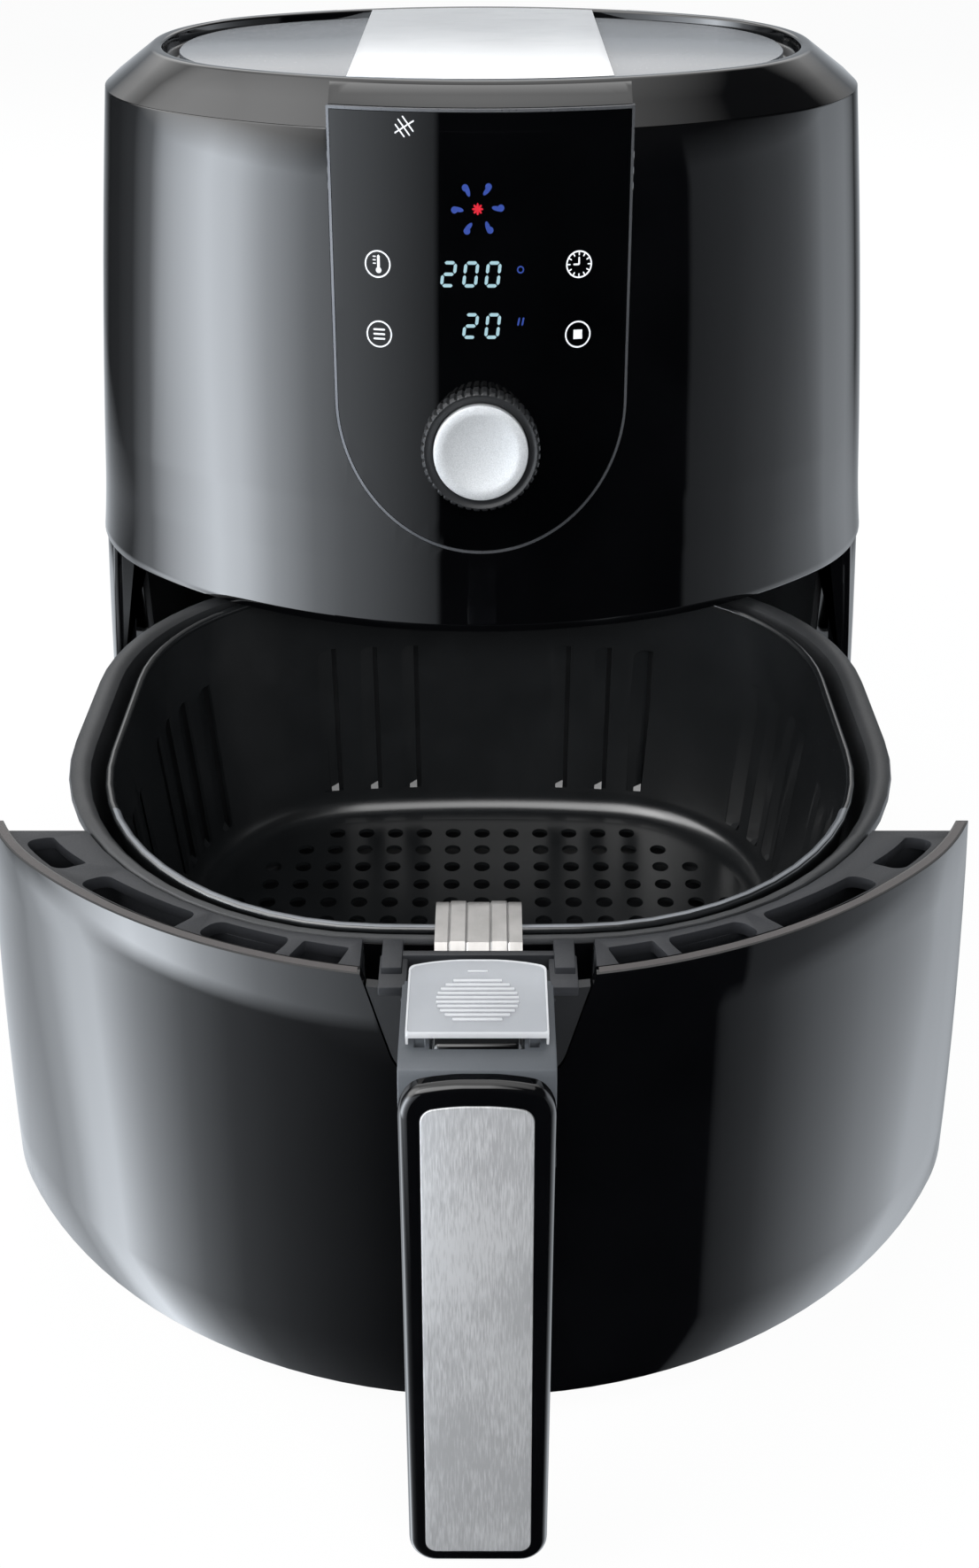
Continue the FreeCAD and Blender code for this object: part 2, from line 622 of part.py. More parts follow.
def draw_rounded(target, points, radii):
    """A closed outline with rounded corners, worked out from the sheet's values."""
    corners = [Vector(x, y, 0) for x, y in points]
    for piece in rounded(corners, radii):
        target.addGeometry(piece)


def pad(owner, name, profile, length, reverse=False, middle=False):
    item = owner.newObject("PartDesign::Pad", name)
    item.Profile = profile
    item.Reversed = reverse
    if middle:
        item.SideType = "Symmetric"
    bind(item, "Length", length)
    document.recompute()
    return item


def pocket(owner, name, profile, length, reverse=False, middle=False):
    """A pocket that must take something away."""
    before = owner.Shape.Volume
    item = owner.newObject("PartDesign::Pocket", name)
    item.Profile = profile
    item.Reversed = reverse
    if middle:
        item.SideType = "Symmetric"
    bind(item, "Length", length)
    document.recompute()
    if owner.Shape.Volume >= before:
        raise ValueError("%s cuts nothing" % name)
    return item


def revolve(owner, name, points, radii=None):
    """A full turn of an outline in radius and height about the body's Z axis."""
    profile = sketch(owner, name + "Profile", "XZ_Plane")
    if radii:
        draw_rounded(profile, points, radii)
    else:
        draw_polygon(profile, points)
    item = owner.newObject("PartDesign::Revolution", name)
    item.Profile = profile
    item.ReferenceAxis = (profile, ["V_Axis"])
    item.Angle = 360.0
    document.recompute()
    return item


def around(owner, name, originals, count):
    """Repeat features about the body's Z axis."""
    item = owner.newObject("PartDesign::PolarPattern", name)
    item.Originals = originals
    item.Axis = (originals[0].Profile[0], ["N_Axis"])
    item.Angle = 360.0
    item.Occurrences = int(count)
    owner.Tip = item
    document.recompute()
    return item


def envelope(inset):
    """The outer form of the housing from base to shoulder, drawn in by a wall."""
    levels = ((BASE_PLAN, S.base_height), (SEAM_PLAN, S.seam_height), (SHOULDER_PLAN, SHOULDER))
    return Part.makeLoft([plan.grown(-inset).wire(height) for plan, height in levels], True, False)


def between(shape, low, high):
    return shape.common(box(-FAR, FAR, -FAR, FAR, low, high))


def panel_prism(outset, low_y, high_y):
    """The control panel's U outline, carried through in depth."""
    half = S.panel_half_width + outset
    foot = S.seam_height + S.panel_foot - outset
    head = SHOULDER + S.panel_rise + outset
    bend = foot + half
    edges = [
        line(Vector(half, low_y, bend), Vector(half, low_y, head)),
        line(Vector(half, low_y, head), Vector(-half, low_y, head)),
        line(Vector(-half, low_y, head), Vector(-half, low_y, bend)),
        arc(Vector(-half, low_y, bend), Vector(0, low_y, foot), Vector(half, low_y, bend)),
    ]
    return Part.Face(Part.Wire(edges)).extrude(Vector(0, high_y - low_y, 0))


def vent_box(outset):
    return box(
        -S.vent_half_width - outset,
        S.vent_half_width + outset,
        CHAMBER_Y,
        FAR,
        S.seam_height + S.vent_low - outset,
        S.seam_height + S.vent_high + outset,
    )


# Housing shells
def make_hood_shell():
    """Upper shell, open above and below, with windows for the control panel and the air outlet."""
    shell = between(envelope(0.0).cut(envelope(S.hood_wall)), S.seam_height, SHOULDER)
    window = panel_prism(S.bezel_width, -FAR, 0.0)
    feature("hood_shell", shell.cut(window).cut(vent_box(S.fit_gap)), AXIS_SHIFT)


def make_rear_shell():
    """Lower shell behind the drawer, with thick front edges and a flange over the base cover."""
    top = S.seam_height - S.seam_gap
    outer = envelope(0.0)
    inner = envelope(S.rear_wall)
    wall = outer.cut(inner)
    lip = inner.cut(envelope(S.rear_wall + S.lip_width)).common(
        box(-FAR, FAR, BAY_FRONT, BAY_FRONT + S.lip_depth, -FAR, FAR)
    )
    low = S.foot_height + S.base_plate
    flange = inner.cut(envelope(S.rear_wall + S.base_flange))
    flange = between(flange, low, low + S.base_flange_thick)
    shell = wall.fuse([lip, flange]).common(box(-FAR, FAR, BAY_FRONT, FAR, S.base_height, top))
    gland = Part.makeCylinder(S.gland_radius, FAR, Vector(0, CHAMBER_Y, S.gland_height), Vector(0, 1, 0))
    shell = shell.cut(gland)
    for x, y in base_screws():
        shell = shell.cut(cylinder(S.screw_radius, 0.0, S.base_height + S.base_plate * 2.0, x, y))
    feature("rear_shell", shell.removeSplitter(), AXIS_SHIFT)


def base_screws():
    """Places of the base screws, on the middle of the flange."""
    side = S.half_width + S.base_flare - S.rear_wall - S.base_flange + S.screw_radius * 2.0
    back = S.rear_reach - S.base_rear_round
    front = back - S.body_corner
    return ((side, front), (-side, front), (side, back), (-side, back))


def make_base_cover():
    """Bottom plate with air intake slots and screw holes."""
    plan = BASE_PLAN.grown(-S.base_margin)
    plate = plan.slab(S.foot_height, S.foot_height + S.base_plate)
    first = -(S.intake_count - 1.0) / 2.0
    for index in range(int(S.intake_count)):
        y = CHAMBER_Y + (first + index) * S.intake_pitch
        half = S.intake_slot_width / 2.0
        reach = S.intake_slot_length / 2.0
        slot = box(-reach, reach, y - half, y + half, 0.0, S.seam_height)
        plate = plate.cut(slot)
    for x, y in base_screws():
        plate = plate.cut(cylinder(S.screw_radius, 0.0, S.seam_height, x, y))
    feature("base_cover", plate, AXIS_SHIFT)


def make_rubber_feet():
    """Four feet with a slight taper."""
    owner = body("rubber_feet")
    profile = sketch(owner, "FootCircles")
    for side in (1.0, -1.0):
        draw_circle(profile, S.foot_radius, side * S.foot_side_front, -S.foot_front)
        draw_circle(profile, S.foot_radius, side * S.foot_side_rear, S.rear_reach - S.foot_rear)
    feet = pad(owner, "Feet", profile, S.foot_height)
    bind(feet, "TaperAngle", S.foot_taper)
    document.recompute()
    keep(owner, AXIS_SHIFT)


def make_base_screws():
    """Screws that hold the base cover to the rear shell."""
    owner = body("housing_screws")
    heads = sketch(owner, "HeadCircles", offset=S.foot_height)
    for x, y in base_screws():
        draw_circle(heads, S.screw_head, x, y)
    pad(owner, "Heads", heads, S.screw_head_thick, reverse=True)
    shanks = sketch(owner, "ShankCircles", offset=S.foot_height)
    for x, y in base_screws():
        draw_circle(shanks, S.screw_radius, x, y)
    pad(owner, "Shanks", shanks, S.base_plate + S.base_flange_thick)
    keep(owner, AXIS_SHIFT)


def make_bay_liner():
    """Side and rear walls of the drawer bay, with two rails for the pan's rim."""
    low = S.foot_height + S.base_plate + S.base_flange_thick
    wall = LINER_PLAN.grown(S.liner_wall).slab(low, CHAMBER_LOW).cut(LINER_PLAN.slab(low, CHAMBER_LOW))
    front = BAY_FRONT + S.lip_depth + S.seam_gap
    wall = wall.common(box(-FAR, FAR, front, FAR, -FAR, FAR))
    high = S.seam_height - S.rail_drop
    for side in (1.0, -1.0):
        inner = side * (LINER_PLAN.half_width - S.rail_width)
        outer = side * LINER_PLAN.half_width
        near, far = sorted((inner, outer))
        end = S.rail_start + S.rail_length
        rail = box(near, far, S.rail_start, end, high - S.rail_thick, high)
        wall = wall.fuse(rail)
    feature("bay_liner", wall.removeSplitter(), AXIS_SHIFT)


# Top of the housing
def make_top_cover():
    """Bevelled ring with a flat edge, a groove and a floor that carries the lid panel."""
    outer = Part.makeLoft([SHOULDER_PLAN.wire(SHOULDER), TOP_PLAN.wire(TOP)], True, True)
    opening = TOP_PLAN.grown(-S.ring_edge)
    floor = TOP - S.lid_drop - S.lid_thick
    cover = outer.cut(opening.slab(floor, TOP + S.bevel_height))
    hollow = Part.makeLoft(
        [
            SHOULDER_PLAN.grown(-S.hood_wall).wire(SHOULDER),
            TOP_PLAN.grown(-S.hood_wall).wire(floor - S.hood_wall),
        ],
        True,
        True,
    )
    seat = panel_prism(S.bezel_width, -FAR, 0.0).cut(panel_surface(S.panel_thick + S.fit_gap))
    cover = cover.cut(hollow).cut(seat)
    feature("top_cover", cover.removeSplitter(), AXIS_SHIFT)


def make_lid_panel():
    """Panel inside the ring, with a recess for the steel strip."""
    plan = TOP_PLAN.grown(-S.ring_edge - S.ring_groove)
    low = TOP - S.lid_drop - S.lid_thick
    panel = plan.slab(low, TOP - S.lid_drop)
    feature("lid_panel", panel.cut(trim_solid(low, 0.0)), AXIS_SHIFT)


def trim_solid(low, inset):
    """The steel strip's outline, from front to back of the top opening."""
    plan = TOP_PLAN.grown(-S.ring_edge - inset)
    half = S.trim_half_width - inset
    return plan.slab(low, TOP).common(box(-half, half, -FAR, FAR, -FAR, FAR))


def make_top_trim_plate():
    """Brushed steel strip on a raised bed."""
    low = TOP - S.lid_drop - S.lid_thick
    feature("top_trim_plate", trim_solid(low, S.fit_gap), AXIS_SHIFT)


# Control panel and what is behind it
def panel_surface(inset):
    """The front of the hood carried on above the shoulder, drawn in by a depth."""
    rise = S.panel_rise * 2.0
    above = Plan(
        SHOULDER_PLAN.half_width,
        SHOULDER_PLAN.front - rise * FRONT_SLOPE,
        SHOULDER_PLAN.rear,
        S.shoulder_front_round,
        S.shoulder_rear_round,
        S.shoulder_corner,
    )
    levels = (
        (SEAM_PLAN, S.seam_height),
        (SHOULDER_PLAN, SHOULDER),
        (above, SHOULDER + rise),
    )
    return Part.makeLoft([plan.grown(-inset).wire(height) for plan, height in levels], True, True)


def panel_plate(outset, inset):
    """A curved plate of the panel's outline."""
    return panel_surface(0.0).cut(panel_surface(inset)).common(panel_prism(outset, -FAR, 0.0))


def make_panel_head():
    """Strip from the control panel's upper edge back to the top ring."""
    low = SHOULDER + S.panel_rise
    edge = Plan(
        SHOULDER_PLAN.half_width,
        SHOULDER_PLAN.front - S.panel_rise * FRONT_SLOPE,
        SHOULDER_PLAN.rear,
        S.shoulder_front_round,
        S.shoulder_rear_round,
        S.shoulder_corner,
    )
    strip = Part.makeLoft([edge.wire(low), TOP_PLAN.wire(TOP)], True, True)
    cover = Part.makeLoft([SHOULDER_PLAN.wire(SHOULDER), TOP_PLAN.wire(TOP)], True, True)
    half = S.panel_half_width
    reach = box(-half, half, -FAR, 0.0, low + S.bezel_width, TOP - S.panel_head_drop)
    feature("panel_head", strip.cut(cover).common(reach), AXIS_SHIFT)


def dial_hole(radius):
    hole = Part.makeCylinder(radius, FAR, Vector(0, 0, -FAR / 2.0))
    hole.Placement = panel_place()
    return hole


def make_control_panel():
    """Curved gloss panel with a hole for the dial's stem."""
    plate = panel_plate(-S.fit_gap, S.panel_thick).cut(dial_hole(S.dial_stem + S.fit_gap))
    feature("control_panel", plate, AXIS_SHIFT)


def make_panel_bezel():
    """Thin bright frame between the control panel and the hood."""
    frame = panel_plate(S.bezel_width - S.fit_gap / 2.0, S.hood_wall)
    feature("panel_bezel", frame.cut(panel_prism(-S.fit_gap / 2.0, -FAR, 0.0)), AXIS_SHIFT)


def make_dial_ring():
    """Knurled ring with a hollow stem."""
    owner = body("dial_ring")
    low = S.dial_lift
    back = -(S.board_depth - S.board_thick - S.fit_gap)
    floor = low + S.dial_floor
    revolve(
        owner,
        "Ring",
        (
            (S.dial_stem_bore, back),
            (S.dial_stem, back),
            (S.dial_stem, low),
            (S.dial_radius, low),
            (S.dial_radius, S.dial_depth),
            (S.dial_bore, S.dial_depth),
            (S.dial_bore, floor),
            (S.dial_stem_bore, floor),
        ),
    )
    profile = sketch(owner, "GrooveCircle", offset=S.dial_depth)
    draw_circle(profile, S.dial_groove, S.dial_radius)
    groove = pocket(owner, "Groove", profile, S.dial_depth - floor)
    around(owner, "Grooves", [groove], S.dial_grooves)
    keep(owner, AXIS_SHIFT, panel_place())


def make_push_cap():
    """Dished cap in the dial ring, with a stem to its switch."""
    owner = body("push_cap")
    radius = S.dial_bore - S.fit_gap
    low = S.cap_rise - S.cap_thick
    tip = -(S.board_depth - S.board_thick - S.switch_size / 2.0)
    rim = S.cap_rim
    revolve(
        owner,
        "Cap",
        (
            (0.0, tip),
            (S.cap_stem, tip),
            (S.cap_stem, low),
            (radius, low),
            (radius, S.cap_rise - rim / 2.0),
            (radius - rim / 2.0, S.cap_rise),
            (radius - rim, S.cap_rise),
            (radius - 2.0 * rim, S.cap_rise - S.cap_dish),
            (0.0, S.cap_rise - S.cap_dish - S.fit_gap),
        ),
    )
    keep(owner, AXIS_SHIFT, panel_place())


def make_encoder():
    """Ring-shaped encoder round the dial's stem."""
    owner = body("encoder")
    back = -(S.board_depth - S.board_thick)
    front = -S.encoder_front
    bore = S.dial_stem + S.shaft_gap
    revolve(
        owner,
        "EncoderBody",
        ((bore, back), (S.encoder_radius, back), (S.encoder_radius, front), (bore, front)),
    )
    keep(owner, AXIS_SHIFT, panel_place())


def make_push_switch():
    """Tactile switch on the board behind the cap's stem."""
    owner = body("push_switch")
    face = -(S.board_depth - S.board_thick)
    profile = sketch(owner, "SwitchSquare", offset=face)
    half = S.switch_size / 2.0
    draw_rectangle(profile, -half, half, -half, half)
    pad(owner, "SwitchBody", profile, half - S.cap_travel - S.fit_gap)
    keep(owner, AXIS_SHIFT, panel_place())


def make_control_board():
    """Control board behind the panel, parallel to it."""
    owner = body("control_board")
    profile = sketch(owner, "BoardOutline", offset=-S.board_depth)
    draw_rectangle(profile, -S.board_half_width, S.board_half_width, -S.board_below, S.board_above)
    pad(owner, "Board", profile, S.board_thick)
    keep(owner, AXIS_SHIFT, panel_place())


def make_display_module():
    """Display block on the board."""
    owner = body("display_module")
    face = S.board_depth - S.board_thick
    profile = sketch(owner, "DisplayOutline", offset=-face)
    draw_rectangle(profile, -S.display_half_width, S.display_half_width, S.display_low, S.display_high)
    pad(owner, "Display", profile, face - S.display_front)
    keep(owner, AXIS_SHIFT, panel_place())


def make_touch_pads():
    """Contact springs between the board and the panel's four touch marks."""
    owner = body("touch_pads")
    face = S.board_depth - S.board_thick
    profile = sketch(owner, "PadCircles", offset=-face)
    for x in (S.pad_side, -S.pad_side):
        for y in (S.pad_low, S.pad_high):
            draw_circle(profile, S.pad_radius, x, y)
    pad(owner, "Pads", profile, face - S.display_front)
    keep(owner, AXIS_SHIFT, panel_place())


# Hot chamber and its fan
def chamber_item(owner, lift=0.0):
    """Set a piece that is drawn about the fan's axis."""
    keep(owner, AXIS_SHIFT, Placement(Vector(0, CHAMBER_Y, lift), Rotation()))


def make_chamber_plate():
    """Plate over the drawer bay with a round opening under the heat shield."""
    plate = between(envelope(S.hood_wall + S.fit_gap), CHAMBER_LOW, CHAMBER_TOP)
    plate = plate.cut(cylinder(S.shield_radius, CHAMBER_LOW, CHAMBER_TOP, 0.0, CHAMBER_Y))
    feature("chamber_plate", plate, AXIS_SHIFT)


def make_heat_shield():
    """Sheet metal dome with a flange, holes for the heater's ends and the probe."""
    owner = body("heat_shield")
    low = CHAMBER_TOP
    high = SHIELD_TOP
    wall = S.shield_radius + S.shield_sheet
    turn = S.shield_round
    points = (
        (S.shield_hole, high),
        (S.shield_hole, high - S.shield_sheet),
        (S.shield_radius, high - S.shield_sheet),
        (S.shield_radius, low),
        (S.shield_radius + S.shield_flange, low),
        (S.shield_radius + S.shield_flange, low + S.shield_sheet),
        (wall, low + S.shield_sheet),
        (wall, high),
    )
    revolve(owner, "Dome", points, (0.0, 0.0, turn - S.shield_sheet, 0.0, 0.0, 0.0, 0.0, turn))
    ends = sketch(owner, "HeaterHoles", offset=high)
    for x, y in heater_ends():
        draw_circle(ends, S.element_tube, x, y)
    pocket(owner, "HeaterHolePockets", ends, S.shield_round)
    probe = sketch(owner, "ProbeHole", "XZ_Plane", offset=0.0)
    draw_circle(probe, S.probe_radius, 0.0, low + S.probe_rise)
    pocket(owner, "ProbeHolePocket", probe, wall * 2.0, reverse=True)
    chamber_item(owner)


def heater_ends():
    """Where the heater's two ends rise through the shield."""
    inner = HEATER_INNER
    outer = inner + S.element_pitch / 2.0 * S.element_half_turns
    if int(S.element_half_turns) % 2:
        outer = -outer
    turn = math.radians(S.element_turn)
    return tuple((reach * math.cos(turn), reach * math.sin(turn)) for reach in (inner, outer))


def make_heating_element():
    """Flat coil of half turns that grow outwards, with both ends rising through the shield."""
    level = CHAMBER_TOP + S.element_rise
    edges = []
    x = float(HEATER_INNER)
    side = 1.0
    for _ in range(int(S.element_half_turns)):
        reach = abs(x) + S.element_pitch / 2.0
        far = -side * reach
        middle = (x + far) / 2.0
        radius = abs(x - far) / 2.0
        edges.append(arc(Vector(x, 0, level), Vector(middle, side * radius, level), Vector(far, 0, level)))
        x = far
        side = -side
    path = Part.Wire(edges)
    start = Vector(HEATER_INNER, 0, level)
    ring = Part.Wire(Part.Circle(start, Vector(0, 1, 0), S.element_tube).toShape())
    coil = path.makePipeShell([ring], True, False)
    coil.rotate(Vector(0, 0, 0), Vector(0, 0, 1), S.element_turn)
    for x, y in heater_ends():
        coil = coil.fuse(cylinder(S.element_tube, level, SHIELD_TOP + S.element_tube * 2.0, x, y))
        coil = coil.fuse(Part.makeSphere(S.element_tube, Vector(x, y, level)))
    owner = document.addObject("Part::Feature", "heating_element")
    owner.Shape = coil
    chamber_item(owner)


def make_element_guard():
    """Grille of rings and spokes under the heater."""
    owner = body("element_guard")
    low = CHAMBER_TOP + S.guard_rise
    rings = sketch(owner, "RingCircles", offset=low)
    radius = S.guard_ring_pitch
    while radius < S.shield_radius - S.guard_wire:
        draw_circle(rings, radius)
        draw_circle(rings, radius - S.guard_wire)
        radius = radius + S.guard_ring_pitch
    pad(owner, "Rings", rings, S.guard_wire)
    spoke = sketch(owner, "SpokeBar", offset=low)
    half = S.guard_wire / 2.0
    draw_rectangle(spoke, 0.0, S.shield_radius - S.fit_gap, -half, half)
    bar = pad(owner, "Spoke", spoke, S.guard_wire)
    around(owner, "Spokes", [bar], S.guard_spokes)
    chamber_item(owner)


def make_fan(label, radius, low, downward):
    """A sheet disc with a hub and upright blades, on the motor shaft."""
    owner = body(label)
    disc = sketch(owner, label + "Disc", offset=low)
    draw_circle(disc, radius)
    pad(owner, label + "Plate", disc, S.fan_sheet)
    hub = sketch(owner, label + "HubCircle", offset=low)
    draw_circle(hub, S.fan_hub)
    pad(owner, label + "Hub", hub, S.fan_blade, reverse=downward)
    blade = sketch(owner, label + "BladeBar", offset=low)
    half = S.fan_sheet / 2.0
    draw_rectangle(blade, S.fan_hub + S.fan_blade, radius - S.fan_sheet, -half, half)
    wing = pad(owner, label + "Blade", blade, S.fan_blade, reverse=downward)
    around(owner, label + "Blades", [wing], S.fan_blades)
    bore = sketch(owner, label + "BoreCircle", offset=low + S.fan_blade * 2.0)
    draw_circle(bore, S.shaft_radius)
    pocket(owner, label + "Bore", bore, S.fan_blade * 4.0)
    chamber_item(owner)


def make_motor_shaft():
    """Shaft that carries both fans."""
    owner = body("motor_shaft")
    low = CHAMBER_TOP + S.fan_rise - S.fan_blade
    profile = sketch(owner, "ShaftCircle", offset=low)
    draw_circle(profile, S.shaft_radius)
    high = SHIELD_TOP + S.bracket_rise + S.bracket_sheet + S.motor_height + S.motor_boss
    pad(owner, "Shaft", profile, high - low)
    chamber_item(owner)


def make_motor_bracket():
    """Bridge of sheet metal that stands on the heat shield and carries the motor."""
    owner = body("motor_bracket")
    low = SHIELD_TOP
    high = SHIELD_TOP + S.bracket_rise
    span = S.bracket_span
    sheet = S.bracket_sheet
    foot = S.bracket_foot
    profile = sketch(owner, "BridgeProfile", "XZ_Plane")
    draw_polygon(
        profile,
        (
            (span + foot, low),
            (span + foot, low + sheet),
            (span + sheet, low + sheet),
            (span + sheet, high + sheet),
            (-span - sheet, high + sheet),
            (-span - sheet, low + sheet),
            (-span - foot, low + sheet),
            (-span - foot, low),
            (-span, low),
            (-span, high),
            (span, high),
            (span, low),
        ),
    )
    pad(owner, "Bridge", profile, S.bracket_depth, middle=True)
    hole = sketch(owner, "BridgeHole", offset=high + sheet)
    draw_circle(hole, S.motor_boss)
    pocket(owner, "BridgeHolePocket", hole, sheet * 2.0)
    chamber_item(owner)


def make_fan_motor():
    """Motor can with a bearing boss at each end."""
    owner = body("fan_motor")
    low = SHIELD_TOP + S.bracket_rise + S.bracket_sheet
    high = low + S.motor_height
    bore = S.shaft_radius + S.shaft_gap
    boss = S.motor_boss - S.fit_gap
    revolve(
        owner,
        "Can",
        (
            (bore, low - S.bracket_sheet),
            (boss, low - S.bracket_sheet),
            (boss, low),
            (S.motor_radius, low),
            (S.motor_radius, high),
            (boss, high),
            (boss, high + S.motor_boss / 2.0),
            (bore, high + S.motor_boss / 2.0),
        ),
    )
    chamber_item(owner)


def make_exhaust_grille():
    """Slotted outlet that follows the hood's rear wall."""
    plate = envelope(0.0).cut(envelope(S.hood_wall)).common(vent_box(0.0))
    low = S.seam_height + S.vent_low + S.vent_pitch / 2.0
    margin = S.vent_pitch
    while low + S.vent_slot < S.seam_height + S.vent_high - S.vent_slot / 2.0:
        half = S.vent_half_width - margin
        slot = box(-half, half, CHAMBER_Y, FAR, low, low + S.vent_slot)
        plate = plate.cut(slot)
        low = low + S.vent_pitch
    feature("exhaust_grille", plate, AXIS_SHIFT)


def make_cord_gland():
    """Flanged bush in the rear shell where the cord comes out."""
    height = S.gland_height
    probe = line(Vector(0, CHAMBER_Y, height), Vector(0, FAR, height))
    rear = envelope(0.0).common(probe).BoundBox.YMax
    owner = body("cord_gland")
    revolve(
        owner,
        "Gland",
        (
            (S.gland_bore, -S.gland_radius),
            (S.gland_radius, -S.gland_radius),
            (S.gland_radius, S.seam_gap),
            (S.gland_flange, S.seam_gap),
            (S.gland_radius, S.gland_stand + S.seam_gap),
            (S.gland_bore, S.gland_stand + S.seam_gap),
        ),
    )
    keep(owner, AXIS_SHIFT, Placement(Vector(0, rear, height), Rotation(Vector(1, 0, 0), -90.0)))


def make_power_board():
    """Supply board that stands on the heat shield behind the motor."""
    owner = body("power_board")
    profile = sketch(owner, "SupplyOutline", "XZ_Plane", offset=-S.power_board_back)
    half = S.power_board_half_width
    draw_rectangle(profile, -half, half, SHIELD_TOP, SHIELD_TOP + S.power_board_height)
    pad(owner, "SupplyBoard", profile, S.board_thick)
    parts = sketch(owner, "SupplyParts", "XZ_Plane", offset=-S.power_board_back)
    size = S.power_block
    low = SHIELD_TOP + (S.power_board_height - size) / 2.0
    for side in (1.0, -1.0):
        near, far = sorted((side * half / 4.0, side * (half / 4.0 + size)))
        draw_rectangle(parts, near, far, low, low + size)
    pad(owner, "SupplyBlocks", parts, S.power_block_depth, reverse=True)
    chamber_item(owner)


def make_drawer_switch():
    """Small switch on the chamber plate that the shut drawer works."""
    owner = body("drawer_switch")
    profile = sketch(owner, "SwitchOutline", offset=CHAMBER_TOP)
    long = S.drawer_switch_length / 2.0
    deep = S.switch_size / 2.0
    x = S.drawer_switch_side
    y = -S.drawer_switch_back
    draw_rectangle(profile, x - long, x + long, y - deep, y + deep)
    pad(owner, "SwitchCase", profile, S.drawer_switch_height)
    keep(owner, AXIS_SHIFT)


def make_temperature_probe():
    """Rod that reaches into the hot chamber through the shield's front wall."""
    owner = body("temperature_probe")
    profile = sketch(owner, "ProbeCircle", "XZ_Plane", offset=S.shield_radius - S.probe_length / 2.0)
    draw_circle(profile, S.probe_radius, 0.0, CHAMBER_TOP + S.probe_rise)
    pad(owner, "Probe", profile, S.probe_length)
    chamber_item(owner)


# Drawer
def make_drawer_front():
    """Curved front shell with a notch for the handle's neck."""
    front = between(envelope(0.0).cut(envelope(S.drawer_wall)), S.base_height, S.seam_height - S.seam_gap)
    front = front.common(box(-FAR, FAR, -FAR, -S.drawer_end, -FAR, FAR))
    feature("drawer_front", front.cut(notch_prism(0.0)), DRAWER_SHIFT)


def notch_prism(inset):
    """The tapering notch in the drawer front, carried through in depth."""
    head = S.neck_notch - inset
    foot = S.neck_notch_foot - inset
    low = S.seam_height - S.neck_notch_depth + inset
    high = S.seam_height
    points = ((-head, high), (-foot, low), (foot, low), (head, high))
    corner = S.neck_notch_corner - inset
    outline = rounded([Vector(x, -FAR, z) for x, z in points], (0.0, corner, corner, 0.0))
    return Part.Face(Part.Wire([piece.toShape() for piece in outline])).extrude(Vector(0, FAR, 0))


def make_neck_plate():
    """Plate that fills the notch round the handle's neck."""
    shell = envelope(0.0).cut(envelope(S.drawer_wall)).common(notch_prism(S.fit_gap))
    shell = between(shell, S.base_height, PAN_TOP - S.fit_gap)
    half = S.neck_half_width + S.fit_gap
    neck = box(-half, half, -FAR, 0.0, S.seam_height - S.neck_low - S.fit_gap, S.seam_height)
    feature("neck_plate", shell.cut(neck), DRAWER_SHIFT)


def ledge_slots():
    """Slots of the ledge: sectors of a band that follows the drawer's outline."""
    low = S.seam_height - S.ledge_skirt
    outer = SEAM_PLAN.grown(-S.ledge_slot_outer)
    band = outer.slab(low, FAR).cut(SEAM_PLAN.grown(-S.ledge_slot_inner).slab(low, FAR))
    middle = Vector(0, S.seam_front_round - S.front_reach, low)
    slots = []
    for start, end in LEDGE_SECTORS:
        for side in (1.0, -1.0):
            corners = [middle]
            for angle in (start, end):
                turn = math.radians(angle)
                corners.append(middle + Vector(side * math.sin(turn), -math.cos(turn), 0) * FAR)
            edges = [line(corners[index - 1], corners[index]) for index in range(3)]
            slots.append(Part.Face(Part.Wire(edges)).extrude(Vector(0, 0, FAR)).common(band))
    return slots


def make_drawer_frame():
    """Slotted ledge between the drawer front and the pan's rim, over a channel round the pan."""
    top = S.seam_height - S.ledge_thick
    low = S.seam_height - S.ledge_skirt
    outer = between(envelope(S.drawer_wall), top - S.ledge_thick, top)
    hole = BASKET_PLAN.grown(S.pan_rim + S.fit_gap)
    ledge = outer.cut(hole.slab(low, S.seam_height))
    ledge = ledge.cut(box(-S.neck_notch, S.neck_notch, -FAR, 0.0, low, S.seam_height))
    skirt = hole.grown(S.ledge_skirt_wall).slab(low, top).cut(hole.slab(low, top))
    skirt = skirt.cut(box(-S.neck_notch, S.neck_notch, -FAR, 0.0, top - S.ledge_thick * 2.0, S.seam_height))
    frame = ledge.fuse(skirt)
    for slot in ledge_slots():
        frame = frame.cut(slot)
    floor = between(envelope(S.drawer_wall), low, low + S.ledge_skirt_wall).cut(hole.slab(low, top))
    frame = frame.fuse(floor).common(box(-FAR, FAR, -FAR, -S.drawer_end - S.seam_gap, -FAR, FAR))
    feature("drawer_frame", frame.removeSplitter(), DRAWER_SHIFT)


def dish(plan, low, high, draft, turn):
    """A bowl's outer form: a rounded foot, then walls that widen upwards."""
    sag = turn * (1.0 - math.sqrt(0.5))
    foot = plan.grown(-draft - turn)
    bend = plan.grown(-draft - sag)
    knee = plan.grown(-draft)
    levels = ((foot, low), (bend, low + sag), (knee, low + turn), (plan, high))
    return Part.makeLoft([part.wire(height) for part, height in levels], True, True)


